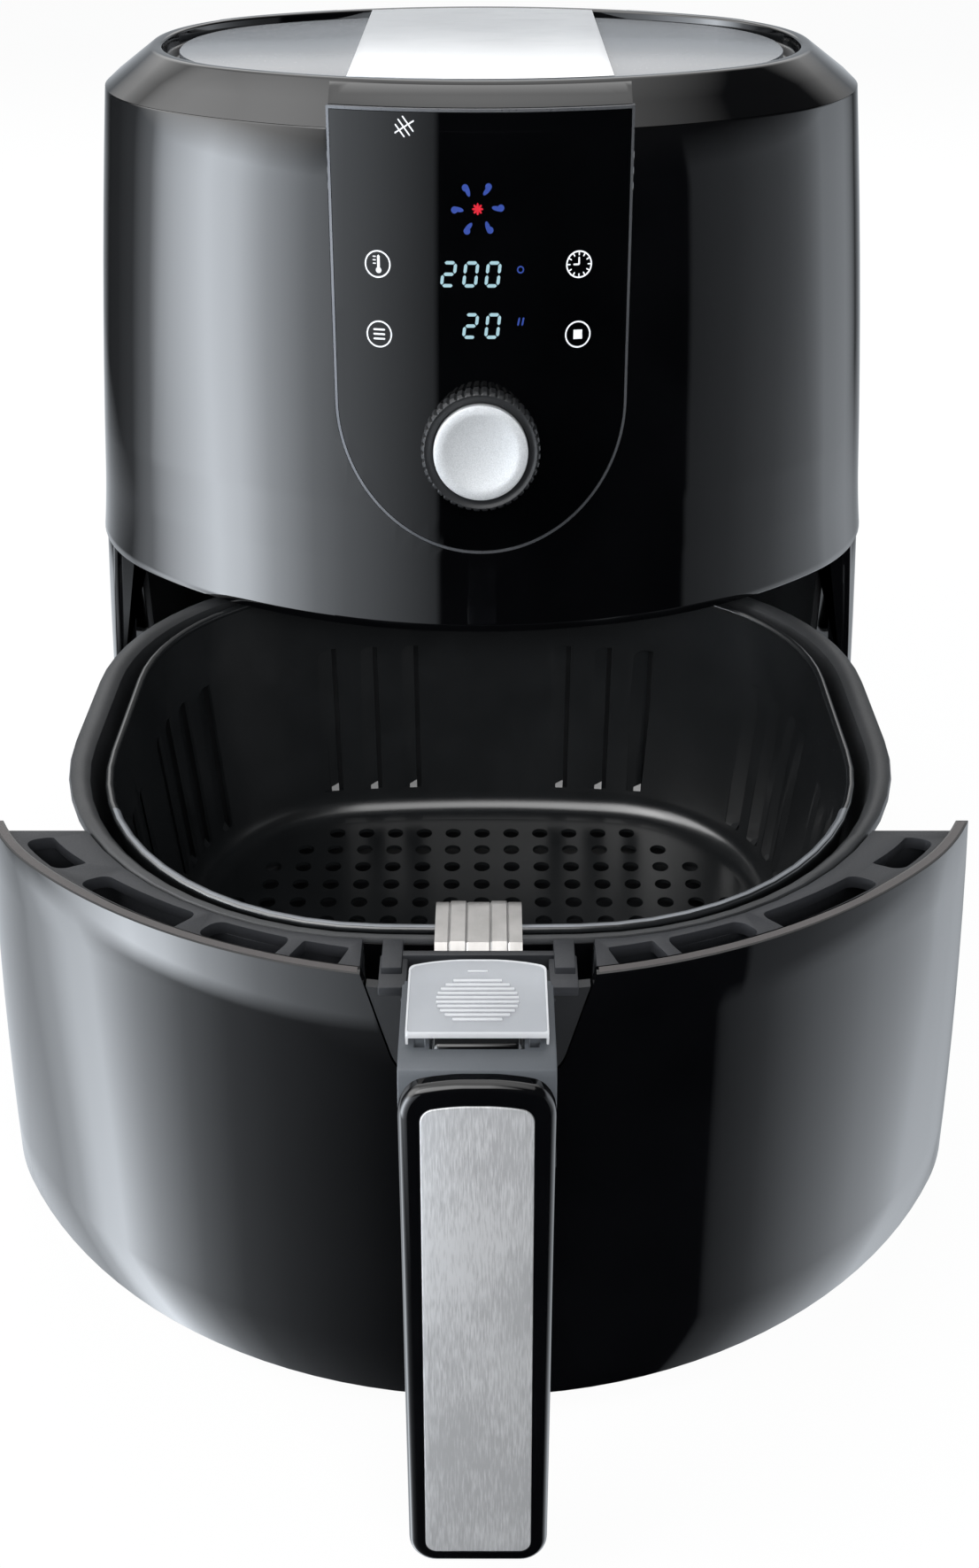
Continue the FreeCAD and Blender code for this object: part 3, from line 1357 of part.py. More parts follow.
def make_pan():
    """Outer pan with a flat rim and posts under the basket."""
    outer_plan = BASKET_PLAN.grown(S.pan_outset)
    inner_plan = BASKET_PLAN.grown(S.pan_outset - S.sheet)
    low = S.pan_floor_height
    pan = dish(outer_plan, low, PAN_TOP, S.pan_draft, S.pan_round)
    rim = BASKET_PLAN.grown(S.pan_rim).slab(PAN_TOP - S.pan_rim_thick, PAN_TOP)
    pan = pan.fuse(rim)
    pan = pan.cut(dish(inner_plan, low + S.sheet, PAN_TOP, S.pan_draft, S.pan_round))
    seat = S.basket_floor_height - S.sheet * 2.0
    side = BASKET_PLAN.half_width - S.pan_post_side
    for x in (side, -side):
        for y in (S.pan_post_ends - BASKET_PLAN.front, BASKET_PLAN.rear - S.pan_post_ends):
            pan = pan.fuse(cylinder(S.pan_post_radius, low + S.sheet / 2.0, seat, x, y))
    feature("pan", pan.removeSplitter(), DRAWER_SHIFT)


def basket_wall_plan():
    return BASKET_PLAN.grown(-S.rim_bead)


def make_basket():
    """Tapered wall with slots, a rolled rim and an in-turned flange for the floor."""
    plan = basket_wall_plan()
    low = S.basket_floor_height - S.sheet * 2.0
    wall = dish(plan, low, RIM_MIDDLE, S.basket_draft, S.basket_round)
    wall = wall.cut(dish(plan.grown(-S.sheet), low + S.sheet, RIM_MIDDLE, S.basket_draft, S.basket_round))
    opening = plan.grown(-S.basket_draft - S.basket_round - S.floor_lip)
    wall = wall.cut(opening.slab(low, low + S.sheet * 2.0))
    start = Vector(0, -plan.front, RIM_MIDDLE)
    ring = Part.Wire(Part.Circle(start, Vector(1, 0, 0), S.rim_bead).toShape())
    bead = plan.wire(RIM_MIDDLE).makePipeShell([ring], True, False)
    basket = wall.fuse(bead)
    half = S.wall_slot_width / 2.0
    slot_low = S.basket_floor_height + S.wall_slot_rise
    slot_high = RIM_MIDDLE - S.wall_slot_drop
    for index in range(SLOTS_IN_GROUP):
        for side in (1.0, -1.0):
            x = side * (S.wall_slot_first + index * S.wall_slot_pitch)
            basket = basket.cut(box(x - half, x + half, CHAMBER_Y, FAR, slot_low, slot_high))
        for first in (S.side_slot_front, S.side_slot_rear):
            y = first + index * S.side_slot_pitch
            basket = basket.cut(box(-FAR, FAR, y - half, y + half, slot_low, slot_high))
    feature("basket", basket.removeSplitter(), DRAWER_SHIFT)


def make_basket_floor():
    """Perforated plate: a square grid of holes inside a round field."""
    plan = basket_wall_plan().grown(-S.basket_draft - S.basket_round - S.sheet)
    low = S.basket_floor_height - S.sheet
    outline = plan.wire(low)
    field = Part.Face(plan.grown(-S.hole_margin - S.hole_radius).wire(low))
    holes = []
    reach = int(S.hole_field / S.hole_pitch) + 1
    for column in range(-reach, reach + 1):
        for row in range(-reach, reach + 1):
            offset = Vector(column * S.hole_pitch, row * S.hole_pitch, 0)
            place = Vector(0, CHAMBER_Y, low) + offset
            if offset.Length < S.hole_field and field.isInside(place, S.fit_gap, True):
                holes.append(octagon(place, S.hole_radius))
    plate = Part.makeFace([outline] + holes, "Part::FaceMakerBullseye")
    feature("basket_floor", plate.extrude(Vector(0, 0, S.sheet)), DRAWER_SHIFT)


def octagon(middle, radius):
    """A hole with eight flats, as wide across as the punched one."""
    corners = []
    step = math.pi / HOLE_SIDES
    for index in range(HOLE_SIDES):
        turn = step * (2 * index + 1)
        corners.append(middle + Vector(math.cos(turn), math.sin(turn), 0) * radius / math.cos(step))
    return Part.makePolygon(corners + corners[:1])


def make_basket_clip():
    """Grooved metal strap over the basket's front rim."""
    owner = body("basket_clip")
    front = BASKET_PLAN.front
    low = RIM_MIDDLE + S.rim_bead + S.fit_gap
    high = low + S.clip_thick
    inner = -front + S.clip_inner
    profile = sketch(owner, "ClipProfile", "YZ_Plane")
    draw_polygon(
        profile,
        (
            (-front - S.clip_reach, low),
            (inner - S.clip_thick, low),
            (inner - S.clip_thick, low - S.clip_leg),
            (inner, low - S.clip_leg),
            (inner, high),
            (-front - S.clip_reach, high),
        ),
    )
    pad(owner, "Strap", profile, S.clip_half_width * 2.0, middle=True)
    grooves = sketch(owner, "ClipGrooves", "XZ_Plane", offset=front + S.clip_reach)
    for place in (S.clip_groove_inner, S.clip_groove_outer):
        for side in (1.0, -1.0):
            draw_circle(grooves, S.clip_groove, side * place, high + S.clip_groove / 2.0)
    pocket(owner, "Grooves", grooves, S.clip_reach * 3.0)
    keep(owner, DRAWER_SHIFT)


# Handle with its release
def handle_point(along, out):
    """A point of the handle's frame as height and depth in the drawer's frame."""
    place = handle_place().multVec(Vector(0, along, out))
    return (place.y, place.z)


def make_handle_bracket():
    """Neck of the handle, with a flange on the pan's rim and a pocket for the release."""
    owner = body("handle_bracket")
    seam = S.seam_height
    top = seam + S.neck_top
    under = seam - S.neck_low
    step = seam - S.seam_gap
    back = -S.front_reach
    face = -S.handle_face_thick
    grip = face - S.handle_grip_thick
    upper = handle_point(-S.neck_nose, face)
    lower = handle_point(-S.handle_neck_length, face)
    inner = handle_point(-S.handle_neck_length, grip)
    profile = sketch(owner, "NeckProfile", "YZ_Plane")
    draw_polygon(
        profile,
        (
            (back, under),
            (back, step),
            (back - S.neck_top, step),
            (back - S.neck_top - S.neck_ramp, top),
            (upper[0] + S.neck_nose, top),
            upper,
            lower,
            inner,
            (inner[0] + S.neck_low, under),
        ),
    )
    pad(owner, "Neck", profile, S.neck_half_width * 2.0, middle=True)
    rim = BASKET_PLAN.front + S.pan_rim - S.pan_outset
    flange = sketch(owner, "FlangeOutline", offset=PAN_TOP)
    gap = S.clip_half_width + S.fit_gap * 2.0
    clear = BASKET_PLAN.front + S.clip_reach + S.fit_gap * 2.0
    half = S.flange_half_width
    draw_polygon(
        flange,
        (
            (-half, -rim),
            (-half, back - S.neck_top),
            (half, back - S.neck_top),
            (half, -rim),
            (gap, -rim),
            (gap, -clear),
            (-gap, -clear),
            (-gap, -rim),
        ),
    )
    pad(owner, "Flange", flange, S.flange_thick)
    roof = top - S.neck_roof
    seat = under + S.spring_radius
    front = -S.button_front - S.button_flange - S.fit_gap * 2.0
    split = -S.button_front + (S.spring_radius + S.spring_wire) * 2.0 + S.fit_gap
    well = sketch(owner, "SpringPocket", offset=seat)
    draw_rectangle(well, -S.neck_pocket, S.neck_pocket, front, split)
    pocket(owner, "SpringWell", well, roof - seat, reverse=True)
    hollow = sketch(owner, "HookPocket", offset=under - S.neck_low)
    draw_rectangle(hollow, -S.neck_pocket, S.neck_pocket, split, back + S.neck_top)
    pocket(owner, "HookWay", hollow, roof - under + S.neck_low, reverse=True)
    window = sketch(owner, "ButtonWindow", offset=top)
    wide = S.button_half_width + S.fit_gap
    start = -S.button_front - S.fit_gap
    draw_rectangle(window, -wide, wide, start, S.button_length + S.fit_gap - S.button_front)
    pocket(owner, "Window", window, S.neck_roof + S.fit_gap)
    track = top - S.guard_skirt - S.fit_gap * 2.0
    inside = S.guard_half_width - S.guard_skirt_wall - S.fit_gap
    tracks = sketch(owner, "TrackOutline", offset=track)
    start = -S.guard_front - S.fit_gap * 2.0
    draw_rectangle(tracks, inside, S.neck_half_width * 2.0, start, back)
    draw_rectangle(tracks, -S.neck_half_width * 2.0, -inside, start, back)
    pocket(owner, "Tracks", tracks, FAR, reverse=True)
    keep(owner, DRAWER_SHIFT)


def make_button_guard():
    """Clear cover with side skirts that slides over the release button."""
    owner = body("button_guard")
    low = S.seam_height + S.neck_top + S.button_rise + S.fit_gap
    front = -S.guard_front
    half = S.guard_half_width
    rear = front + S.guard_length
    flank = rear - S.guard_arch
    crown = S.guard_arch_half
    turn = S.guard_arch_round
    plate = sketch(owner, "GuardPlate", offset=low)
    outline = ((-half, front), (half, front), (half, flank), (crown, rear), (-crown, rear), (-half, flank))
    draw_rounded(plate, outline, (0.0, 0.0, S.guard_skirt_wall, turn, turn, S.guard_skirt_wall))
    pad(owner, "Cover", plate, S.guard_thick)
    skirts = sketch(owner, "GuardSkirts", offset=low)
    inner = half - S.guard_skirt_wall
    for side in (1.0, -1.0):
        edges = sorted((side * inner, side * half))
        draw_rectangle(skirts, edges[0], edges[1], front, flank - S.guard_skirt_wall)
    pad(owner, "Skirts", skirts, S.guard_skirt + S.button_rise, reverse=True)
    keep(owner, DRAWER_SHIFT)


def make_release_button():
    """Button with a flange that keeps it under the neck's roof."""
    owner = body("release_button")
    top = S.seam_height + S.neck_top
    roof = top - S.neck_roof - S.fit_gap / 4.0
    front = -S.button_front
    back = front + S.button_length
    half = S.button_half_width
    head = sketch(owner, "ButtonOutline", offset=roof)
    draw_rectangle(head, -half, half, front, back)
    pad(owner, "Head", head, S.neck_roof + S.button_rise)
    rim = sketch(owner, "ButtonFlange", offset=roof)
    wide = half + S.button_flange
    draw_rectangle(rim, -wide, wide, front - S.button_flange, back + S.button_flange)
    pad(owner, "Flange", rim, S.button_flange_thick, reverse=True)
    keep(owner, DRAWER_SHIFT)


def make_latch_hook():
    """Hook under the release button that reaches back to the drawer's frame."""
    owner = body("latch_hook")
    high = S.seam_height + S.neck_top - S.neck_roof - S.fit_gap / 4.0 - S.button_flange_thick
    low = high - S.hook_thick
    profile = sketch(owner, "HookProfile", "YZ_Plane")
    tip = -S.hook_reach
    rear = -S.button_front + S.button_length
    front = -S.button_front + S.spring_radius * 3.0
    draw_polygon(
        profile,
        (
            (front, low),
            (front, high),
            (rear, high),
            (rear, low - S.fit_gap),
            (tip - S.hook_thick, low - S.fit_gap),
            (tip, low - S.hook_thick),
            (tip - S.hook_thick, low - S.hook_thick),
            (rear - S.hook_thick, low - S.hook_thick),
        ),
    )
    pad(owner, "Hook", profile, S.hook_half_width * 2.0, middle=True)
    keep(owner, DRAWER_SHIFT)


def make_release_spring():
    """Coil under the front of the release button."""
    high = S.seam_height + S.neck_top - S.neck_roof - S.fit_gap / 4.0 - S.button_flange_thick
    low = S.seam_height - S.neck_low + S.spring_radius
    wire = S.spring_wire
    length = high - low - 2.0 * wire
    helix = Part.makeHelix(length / S.spring_turns, length, S.spring_radius)
    ring = Part.Wire(Part.Circle(Vector(S.spring_radius, 0, 0), Vector(0, 1, 0), wire).toShape())
    coil = Part.Wire(helix).makePipeShell([ring], True, True)
    place = Placement(Vector(0, -S.button_front + S.spring_radius + wire, low + wire), Rotation())
    feature("release_spring", coil, DRAWER_SHIFT, place)


def handle_outline(target, inset, top, foot, top_corner, crown=()):
    """The handle's tapering outline, in its own frame, with two more corners for an arched top."""
    length = handle_length()
    wide = S.handle_half_width - inset
    narrow = wide - S.handle_taper * (foot / length)
    points = ((-wide, -top), (-narrow, -foot), (narrow, -foot), (wide, -top)) + tuple(crown)
    turns = (top_corner, S.handle_corner, S.handle_corner, top_corner)
    draw_rounded(target, points, turns + (S.handle_arch_round,) * len(crown))


def make_handle_face():
    """Front frame of the handle with a recess for the steel inlay."""
    owner = body("handle_face")
    profile = sketch(owner, "FaceOutline")
    crown = ((S.handle_arch_half, 0.0), (-S.handle_arch_half, 0.0))
    handle_outline(profile, 0.0, S.handle_arch, handle_length(), S.handle_corner, crown)
    pad(owner, "Face", profile, S.handle_face_thick, reverse=True)
    recess = sketch(owner, "InlayRecess")
    inlay_outline(recess, 0.0)
    pocket(owner, "Recess", recess, S.inlay_thick)
    sockets = sketch(owner, "ScrewSockets", offset=-S.handle_face_thick)
    for y in grip_screws():
        draw_circle(sockets, S.screw_radius, 0.0, y)
    pocket(owner, "Sockets", sockets, S.screw_bite, reverse=True)
    keep(owner, DRAWER_SHIFT, handle_place())


def grip_screws():
    """Places of the grip's two screws, along the handle."""
    return (-S.handle_neck_length - S.grip_screw_margin, S.grip_screw_margin - handle_length())


def inlay_outline(target, inset):
    low = -handle_length() + S.inlay_margin_foot + inset
    high = -S.inlay_margin_top - inset
    half = S.inlay_half_width - inset
    side = high - S.inlay_arch
    crown = S.inlay_arch_half
    points = ((-half, side), (-half, low), (half, low), (half, side), (crown, high), (-crown, high))
    draw_rounded(target, points, (S.inlay_corner,) * 4 + (S.handle_arch_round,) * 2)


def make_handle_inlay():
    """Brushed steel strip in the handle's face."""
    owner = body("handle_inlay")
    profile = sketch(owner, "InlayOutline", offset=-S.inlay_thick)
    inlay_outline(profile, S.fit_gap / 4.0)
    pad(owner, "Inlay", profile, S.inlay_thick)
    keep(owner, DRAWER_SHIFT, handle_place())


def make_handle_core():
    """Back of the handle, rounded for the fingers."""
    owner = body("handle_core")
    profile = sketch(owner, "CoreOutline", offset=-S.handle_face_thick)
    foot = handle_length() - S.handle_grip_inset * 2.0
    top = S.handle_neck_length + S.fit_gap
    handle_outline(profile, S.handle_grip_inset, top, foot, 0.0)
    grip = pad(owner, "Grip", profile, S.handle_grip_thick, reverse=True)
    back = -S.handle_face_thick - S.handle_grip_thick
    edges = []
    for index, edge in enumerate(owner.Shape.Edges, start=1):
        on_back = all(abs(vertex.Point.z - back) < S.fit_gap / 4.0 for vertex in edge.Vertexes)
        near_top = all(vertex.Point.y > -top - S.fit_gap * 2.0 for vertex in edge.Vertexes)
        if on_back and not near_top:
            edges.append("Edge%d" % index)
    fillet = owner.newObject("PartDesign::Fillet", "GripRound")
    fillet.Base = (grip, edges)
    bind(fillet, "Radius", S.handle_grip_round)
    document.recompute()
    wells = sketch(owner, "ScrewWells", offset=back)
    holes = sketch(owner, "ScrewHoles", offset=back)
    for y in grip_screws():
        draw_circle(wells, S.screw_head + S.fit_gap, 0.0, y)
        draw_circle(holes, S.screw_radius, 0.0, y)
    pocket(owner, "Wells", wells, S.screw_well, reverse=True)
    pocket(owner, "Holes", holes, S.handle_grip_thick, reverse=True)
    keep(owner, DRAWER_SHIFT, handle_place())


def make_handle_screws():
    """Two screws from behind that hold the grip to the handle's face."""
    owner = body("handle_screws")
    floor = S.screw_well - S.handle_face_thick - S.handle_grip_thick
    heads = sketch(owner, "GripHeads", offset=floor)
    shanks = sketch(owner, "GripShanks", offset=floor)
    for y in grip_screws():
        draw_circle(heads, S.screw_head, 0.0, y)
        draw_circle(shanks, S.screw_radius, 0.0, y)
    pad(owner, "Heads", heads, S.screw_head_thick, reverse=True)
    pad(owner, "Shanks", shanks, S.screw_bite - S.handle_face_thick - floor)
    keep(owner, DRAWER_SHIFT, handle_place())


def build():
    make_hood_shell()
    make_rear_shell()
    make_base_cover()
    make_rubber_feet()
    make_base_screws()
    make_bay_liner()
    make_top_cover()
    make_lid_panel()
    make_top_trim_plate()
    make_control_panel()
    make_panel_bezel()
    make_panel_head()
    make_dial_ring()
    make_push_cap()
    make_encoder()
    make_push_switch()
    make_control_board()
    make_display_module()
    make_touch_pads()
    make_chamber_plate()
    make_heat_shield()
    make_heating_element()
    make_element_guard()
    make_fan("convection_fan", S.shield_radius - S.fan_inset, CHAMBER_TOP + S.fan_rise, True)
    make_fan("cooling_fan", S.shield_radius - S.cooling_inset, SHIELD_TOP + S.cooling_gap, False)
    make_motor_shaft()
    make_motor_bracket()
    make_fan_motor()
    make_exhaust_grille()
    make_cord_gland()
    make_power_board()
    make_drawer_switch()
    make_temperature_probe()
    make_drawer_front()
    make_neck_plate()
    make_drawer_frame()
    make_pan()
    make_basket()
    make_basket_floor()
    make_basket_clip()
    make_handle_bracket()
    make_button_guard()
    make_release_button()
    make_latch_hook()
    make_release_spring()
    make_handle_face()
    make_handle_inlay()
    make_handle_core()
    make_handle_screws()


def check():
    """Stop if any object failed or any piece is not a sound solid."""
    document.recompute()
    for item in document.Objects:
        if "Invalid" in item.State or "Error" in item.State:
            raise ValueError("%s did not recompute: %s" % (item.Label, item.State))
    for item in NODES:
        if item.Shape.isNull() or not item.Shape.isValid() or not item.Shape.Solids:
            raise ValueError("%s is not a sound solid" % item.Label)


def export():
    os.makedirs("parts", exist_ok=True)
    for item in NODES:
        item.Shape.exportStep("parts/%s.step" % item.Label)


build()
check()
export()
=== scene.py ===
"""Looks of an air fryer with its drawer pulled out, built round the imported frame."""

import functools
import logging
import math
from dataclasses import astuple, dataclass, field
from enum import Enum
from typing import Callable, Optional, Sequence

import bmesh
import bpy
from mathutils import Matrix, Vector


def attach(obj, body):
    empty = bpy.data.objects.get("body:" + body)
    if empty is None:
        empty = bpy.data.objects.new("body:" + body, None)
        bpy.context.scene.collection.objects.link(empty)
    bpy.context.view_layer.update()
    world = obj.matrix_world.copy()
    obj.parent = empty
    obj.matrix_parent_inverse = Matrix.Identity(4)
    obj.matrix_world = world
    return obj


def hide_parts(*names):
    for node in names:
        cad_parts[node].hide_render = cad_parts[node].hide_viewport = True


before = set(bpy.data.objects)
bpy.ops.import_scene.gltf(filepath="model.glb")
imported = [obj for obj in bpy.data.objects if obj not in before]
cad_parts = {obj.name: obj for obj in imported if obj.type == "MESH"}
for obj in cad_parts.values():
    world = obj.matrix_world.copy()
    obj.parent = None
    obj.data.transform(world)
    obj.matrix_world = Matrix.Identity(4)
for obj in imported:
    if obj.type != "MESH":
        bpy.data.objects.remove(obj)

LOG = logging.getLogger("air_fryer")
MM = 0.001
SEAM = 144.0
SHOULDER = 310.0
TOP = 323.0
FAR = 700.0
QUARTER = math.pi / 2.0
Pair = tuple[float, float]
Point = tuple[float, float, float]
Box = tuple[Point, Point]
Socket = bpy.types.NodeSocket


class Carrier(Enum):
    """CAD body that a piece moves with, and the shift of its drawing along Y in millimetres."""

    HOUSING = ("housing", 78.0)
    DIAL = ("dial", 78.0)
    CAP = ("cap", 78.0)
    DRAWER = ("drawer", -120.0)
    GUARD = ("guard", -120.0)
    RELEASE = ("release", -120.0)

    @property
    def body(self) -> str:
        """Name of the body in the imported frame."""
        return self.value[0]

    @property
    def shift(self) -> float:
        """Shift along Y in millimetres."""
        return self.value[1]


class Cut(Enum):
    """Ways to combine two closed forms."""

    TAKE = "DIFFERENCE"
    KEEP = "INTERSECT"


class Facing(Enum):
    """Planes that a flat outline is drawn in, with its depth along the plane's normal."""

    UP = Matrix.Identity(4)
    FRONT = Matrix(((1, 0, 0, 0), (0, 0, 1, 0), (0, 1, 0, 0), (0, 0, 0, 1)))
    SIDE = Matrix(((0, 0, 1, 0), (1, 0, 0, 0), (0, 1, 0, 0), (0, 0, 0, 1)))


class Tree:
    """A shader node tree that is being wired."""

    def __init__(self, tree: bpy.types.NodeTree) -> None:
        """Take the node tree to work on."""
        self.nodes = tree.nodes
        self.links = tree.links

    def put(self, socket: Socket, value: object) -> None:
        """Link an input to another socket, or give it a value.

        Args:
            socket: The input.
            value: A socket to link to, or a plain value.
        """
        if isinstance(value, Socket):
            self.links.new(value, socket)
        else:
            socket.default_value = value

    def set(self, node: bpy.types.Node, **values: object) -> None:
        """Set or link inputs by name, with underscores for spaces."""
        for name, value in values.items():
            self.put(node.inputs[name.replace("_", " ")], value)

    def add(self, kind: str, **values: object) -> bpy.types.Node:
        """Add a node and set its inputs.

        Args:
            kind: Its type without the common first part.
            values: Values or sockets for its inputs, by name.

        Returns:
            The node.
        """
        node = self.nodes.new(f"ShaderNode{kind}")
        self.set(node, **values)
        return node

    def first(self, kind: str) -> bpy.types.Node:
        """The first node of a type."""
        return next(node for node in self.nodes if node.type == kind)

    def math(self, operation: str, first: Socket, second: object, kind: str = "Math") -> Socket:
        """Combine two values, or two vectors with the kind VectorMath.

        Args:
            operation: What to do with them.
            first: First value.
            second: Second value, as a socket or plain.
            kind: Type of the node.

        Returns:
            The result.
        """
        node = self.add(kind)
        node.operation = operation
        self.put(node.inputs[0], first)
        self.put(node.inputs[1], second)
        return node.outputs["Value"]

    def noise(self, place: Socket, scale: float, detail: float) -> Socket:
        """Noise at a place."""
        return self.add("TexNoise", Vector=place, Scale=scale, Detail=detail).outputs["Fac"]

    def span(self, value: Socket, low: float, high: float, first: float = 0.0, last: float = 1.0) -> Socket:
        """A value carried from one range to another and clamped there."""
        node = self.add("MapRange", Value=value, From_Min=low, From_Max=high, To_Min=first, To_Max=last)
        return node.outputs["Result"]

    def ramp(self, value: Socket, stops: Sequence[tuple[float, Point]]) -> Socket:
        """Choose a colour by a value between 0 and 1.

        Args:
            value: The value.
            stops: Positions and their colours.

        Returns:
            The colour.
        """
        node = self.add("ValToRGB", Fac=value)
        elements = node.color_ramp.elements
        while len(elements) < len(stops):
            elements.new(1.0)
        for element, (position, colour) in zip(elements, stops):
            element.position = position
            element.color = (*colour, 1.0)
        return node.outputs["Color"]

    def blend(self, share: Socket, first: Socket, second: Socket) -> Socket:
        """A colour between two others."""
        return self.add("MixRGB", Fac=share, Color1=first, Color2=second).outputs["Color"]

    def mix(self, share: Socket, first: Socket, second: Socket) -> Socket:
        """Mix two shaders.

        Args:
            share: Share of the second one.
            first: First shader.
            second: Second shader.

        Returns:
            The mixed shader.
        """
        node = self.add("MixShader", Fac=share)
        self.put(node.inputs[1], first)
        self.put(node.inputs[2], second)
        return node.outputs["Shader"]


@dataclass(frozen=True)
class Grain:
    """Fine noise in a surface.

    The scale is in cycles per metre, with one of its own along X where the surface is brushed. The
    detail is in octaves, and the height of the bump is in metres.
    """

    scale: float = 900.0
    detail: float = 3.0
    height: float = 0.0
    strength: float = 0.0
    along: float = 0.0


@dataclass(frozen=True)
class Finish:
    """A material made of a principled shader with grain and slow colour variation."""

    name: str
    slot: str
    colour: Point
    accent: Point
    metallic: float = 0.0
    rough: Pair = (0.4, 0.5)
    specular: float = 0.5
    grain: Grain = Grain()
    cloud: float = 25.0
    cloud_detail: float = 4.0
    transmission: float = 0.0
    glow: float = 0.0
    streak: float = 0.0
    fine_span: Pair = (0.25, 0.75)
    broad_span: Pair = (0.35, 0.65)

    @functools.cache
    def material(self) -> bpy.types.Material:
        """Make the material, once for all pieces.

        Returns:
            The material of this finish.
        """
        material = bpy.data.materials.new(self.name)
        material.use_nodes = True
        tree = Tree(material.node_tree)
        place = tree.add("TexCoord").outputs["Object"]
        grain = self.grain
        scale = (grain.along or grain.scale, grain.scale, grain.scale)
        mapping = tree.add("Mapping", Vector=place, Scale=scale)
        fine = tree.noise(mapping.outputs["Vector"], 1.0, grain.detail)
        broad = tree.noise(place, self.cloud, self.cloud_detail)
        if self.streak:
            shift = tree.math("MULTIPLY", tree.math("SUBTRACT", fine, 0.5), self.streak)
            broad = tree.math("ADD", broad, shift)
        tone = tree.ramp(broad, tuple(zip(self.broad_span, (self.colour, self.accent))))
        shader = tree.first("BSDF_PRINCIPLED")
        tree.set(
            shader, Base_Color=tone, Roughness=tree.span(fine, *self.fine_span, *self.rough),
            Metallic=self.metallic, Specular_IOR_Level=self.specular, Transmission_Weight=self.transmission,
        )
        if grain.height:
            bump = tree.add("Bump", Strength=grain.strength, Distance=grain.height, Height=fine)
            tree.set(shader, Normal=bump.outputs["Normal"])
        if self.glow:
            tree.set(shader, Emission_Color=tone, Emission_Strength=self.glow)
        return material


GLOSS = Finish(
    "gloss_black_plastic", "gloss_black", (0.0011, 0.0012, 0.0015), (0.0018, 0.0019, 0.0023),
    rough=(0.030, 0.055), grain=Grain(60.0, 4.0),
)
PANEL_GLOSS = Finish(
    "panel_gloss", "panel_black", (0.0007, 0.0008, 0.0010), (0.0012, 0.0013, 0.0016),
    rough=(0.020, 0.040), specular=0.42, grain=Grain(60.0, 4.0),
)
SATIN = Finish(
    "satin_black_plastic", "matte_black", (0.010, 0.0105, 0.0115), (0.014, 0.0147, 0.016),
    rough=(0.36, 0.50), specular=0.45, grain=Grain(2400.0, 4.0, 0.00008, 0.35),
)
MATTE = Finish(
    "matte_black_plastic", "matte_black", (0.0085, 0.0088, 0.0095), (0.012, 0.0125, 0.0135),
    rough=(0.48, 0.62), specular=0.4, grain=Grain(1900.0, 5.0, 0.0001, 0.4),
)
LID_SATIN = Finish(
    "lid_satin_grey", "satin_grey", (0.118, 0.127, 0.139), (0.14, 0.149, 0.161),
    rough=(0.20, 0.28), specular=0.75, grain=Grain(1500.0, 3.0, 0.00004, 0.25), cloud=9.0,
)
NECK_SATIN = Finish(
    "neck_satin_plastic", "matte_black", (0.050, 0.055, 0.062), (0.062, 0.068, 0.076),
    rough=(0.46, 0.60), grain=Grain(2400.0, 4.0, 0.00008, 0.35),
)
LEDGE_SATIN = Finish(
    "ledge_satin_plastic", "matte_black", (0.015, 0.016, 0.018), (0.021, 0.022, 0.025),
    rough=(0.42, 0.58), specular=0.42, grain=Grain(1700.0, 5.0, 0.00012, 0.5),
)
PAN_COAT = Finish(
    "pan_coating", "coated_sheet", (0.015, 0.0158, 0.017), (0.021, 0.022, 0.0235),
    rough=(0.40, 0.56), grain=Grain(2400.0, 5.0, 0.00008, 0.45), cloud=60.0,
)
EDGE_BROWN = Finish(
    "drawer_edge_plastic", "gloss_black", (0.050, 0.045, 0.044), (0.064, 0.058, 0.057),
    rough=(0.38, 0.50), specular=0.4, grain=Grain(1900.0, 4.0, 0.00006, 0.3),
)
STEEL = Finish(
    "brushed_inlay_steel", "brushed_steel", (0.45, 0.455, 0.465), (0.59, 0.595, 0.605), 0.55,
    rough=(0.30, 0.44), grain=Grain(240.0, 3.0, 0.00004, 0.35, 2700.0), cloud=30.0, streak=1.0,
)
STRIP_STEEL = Finish(
    "strip_steel", "brushed_steel", (0.60, 0.61, 0.62), (0.68, 0.69, 0.70), 1.0,
    rough=(0.26, 0.38), grain=Grain(4200.0, 3.0, 0.00003, 0.25, 60.0), cloud=12.0,
)
CLIP_STEEL = Finish(
    "clip_steel", "bright_metal", (0.38, 0.367, 0.354), (0.47, 0.455, 0.44), 0.6,
    rough=(0.30, 0.46), grain=Grain(240.0, 3.0, 0.00005, 0.4, 5200.0), cloud=120.0,
)
LINE_METAL = Finish(
    "panel_line_metal", "bright_metal", (0.10, 0.105, 0.115), (0.14, 0.145, 0.155), 0.6,
    rough=(0.25, 0.38), grain=Grain(1200.0),
)
BLASTED = Finish(
    "blasted_silver", "satin_silver", (0.50, 0.515, 0.53), (0.62, 0.635, 0.65), 0.45,
    rough=(0.36, 0.58), grain=Grain(4600.0, 5.0, 0.00018, 0.8), cloud=2600.0,
)
COATED = Finish(
    "basket_coating", "coated_sheet", (0.0085, 0.0093, 0.0100), (0.0112, 0.0121, 0.0130),
    rough=(0.20, 0.28), specular=0.9, grain=Grain(2800.0, 5.0, 0.00003, 0.3), cloud=60.0,
)
# Lighter, partly metallic copy of the basket coating, laid over the front of the rolled rim: a painted
# highlight.
RIM_HIGHLIGHT = Finish(
    "rolled_rim_painted_highlight", "coated_sheet", (0.16, 0.168, 0.18), (0.20, 0.21, 0.225), 0.4,
    rough=(0.32, 0.44), grain=Grain(2800.0, 4.0, 0.00003, 0.3), cloud=60.0,
)
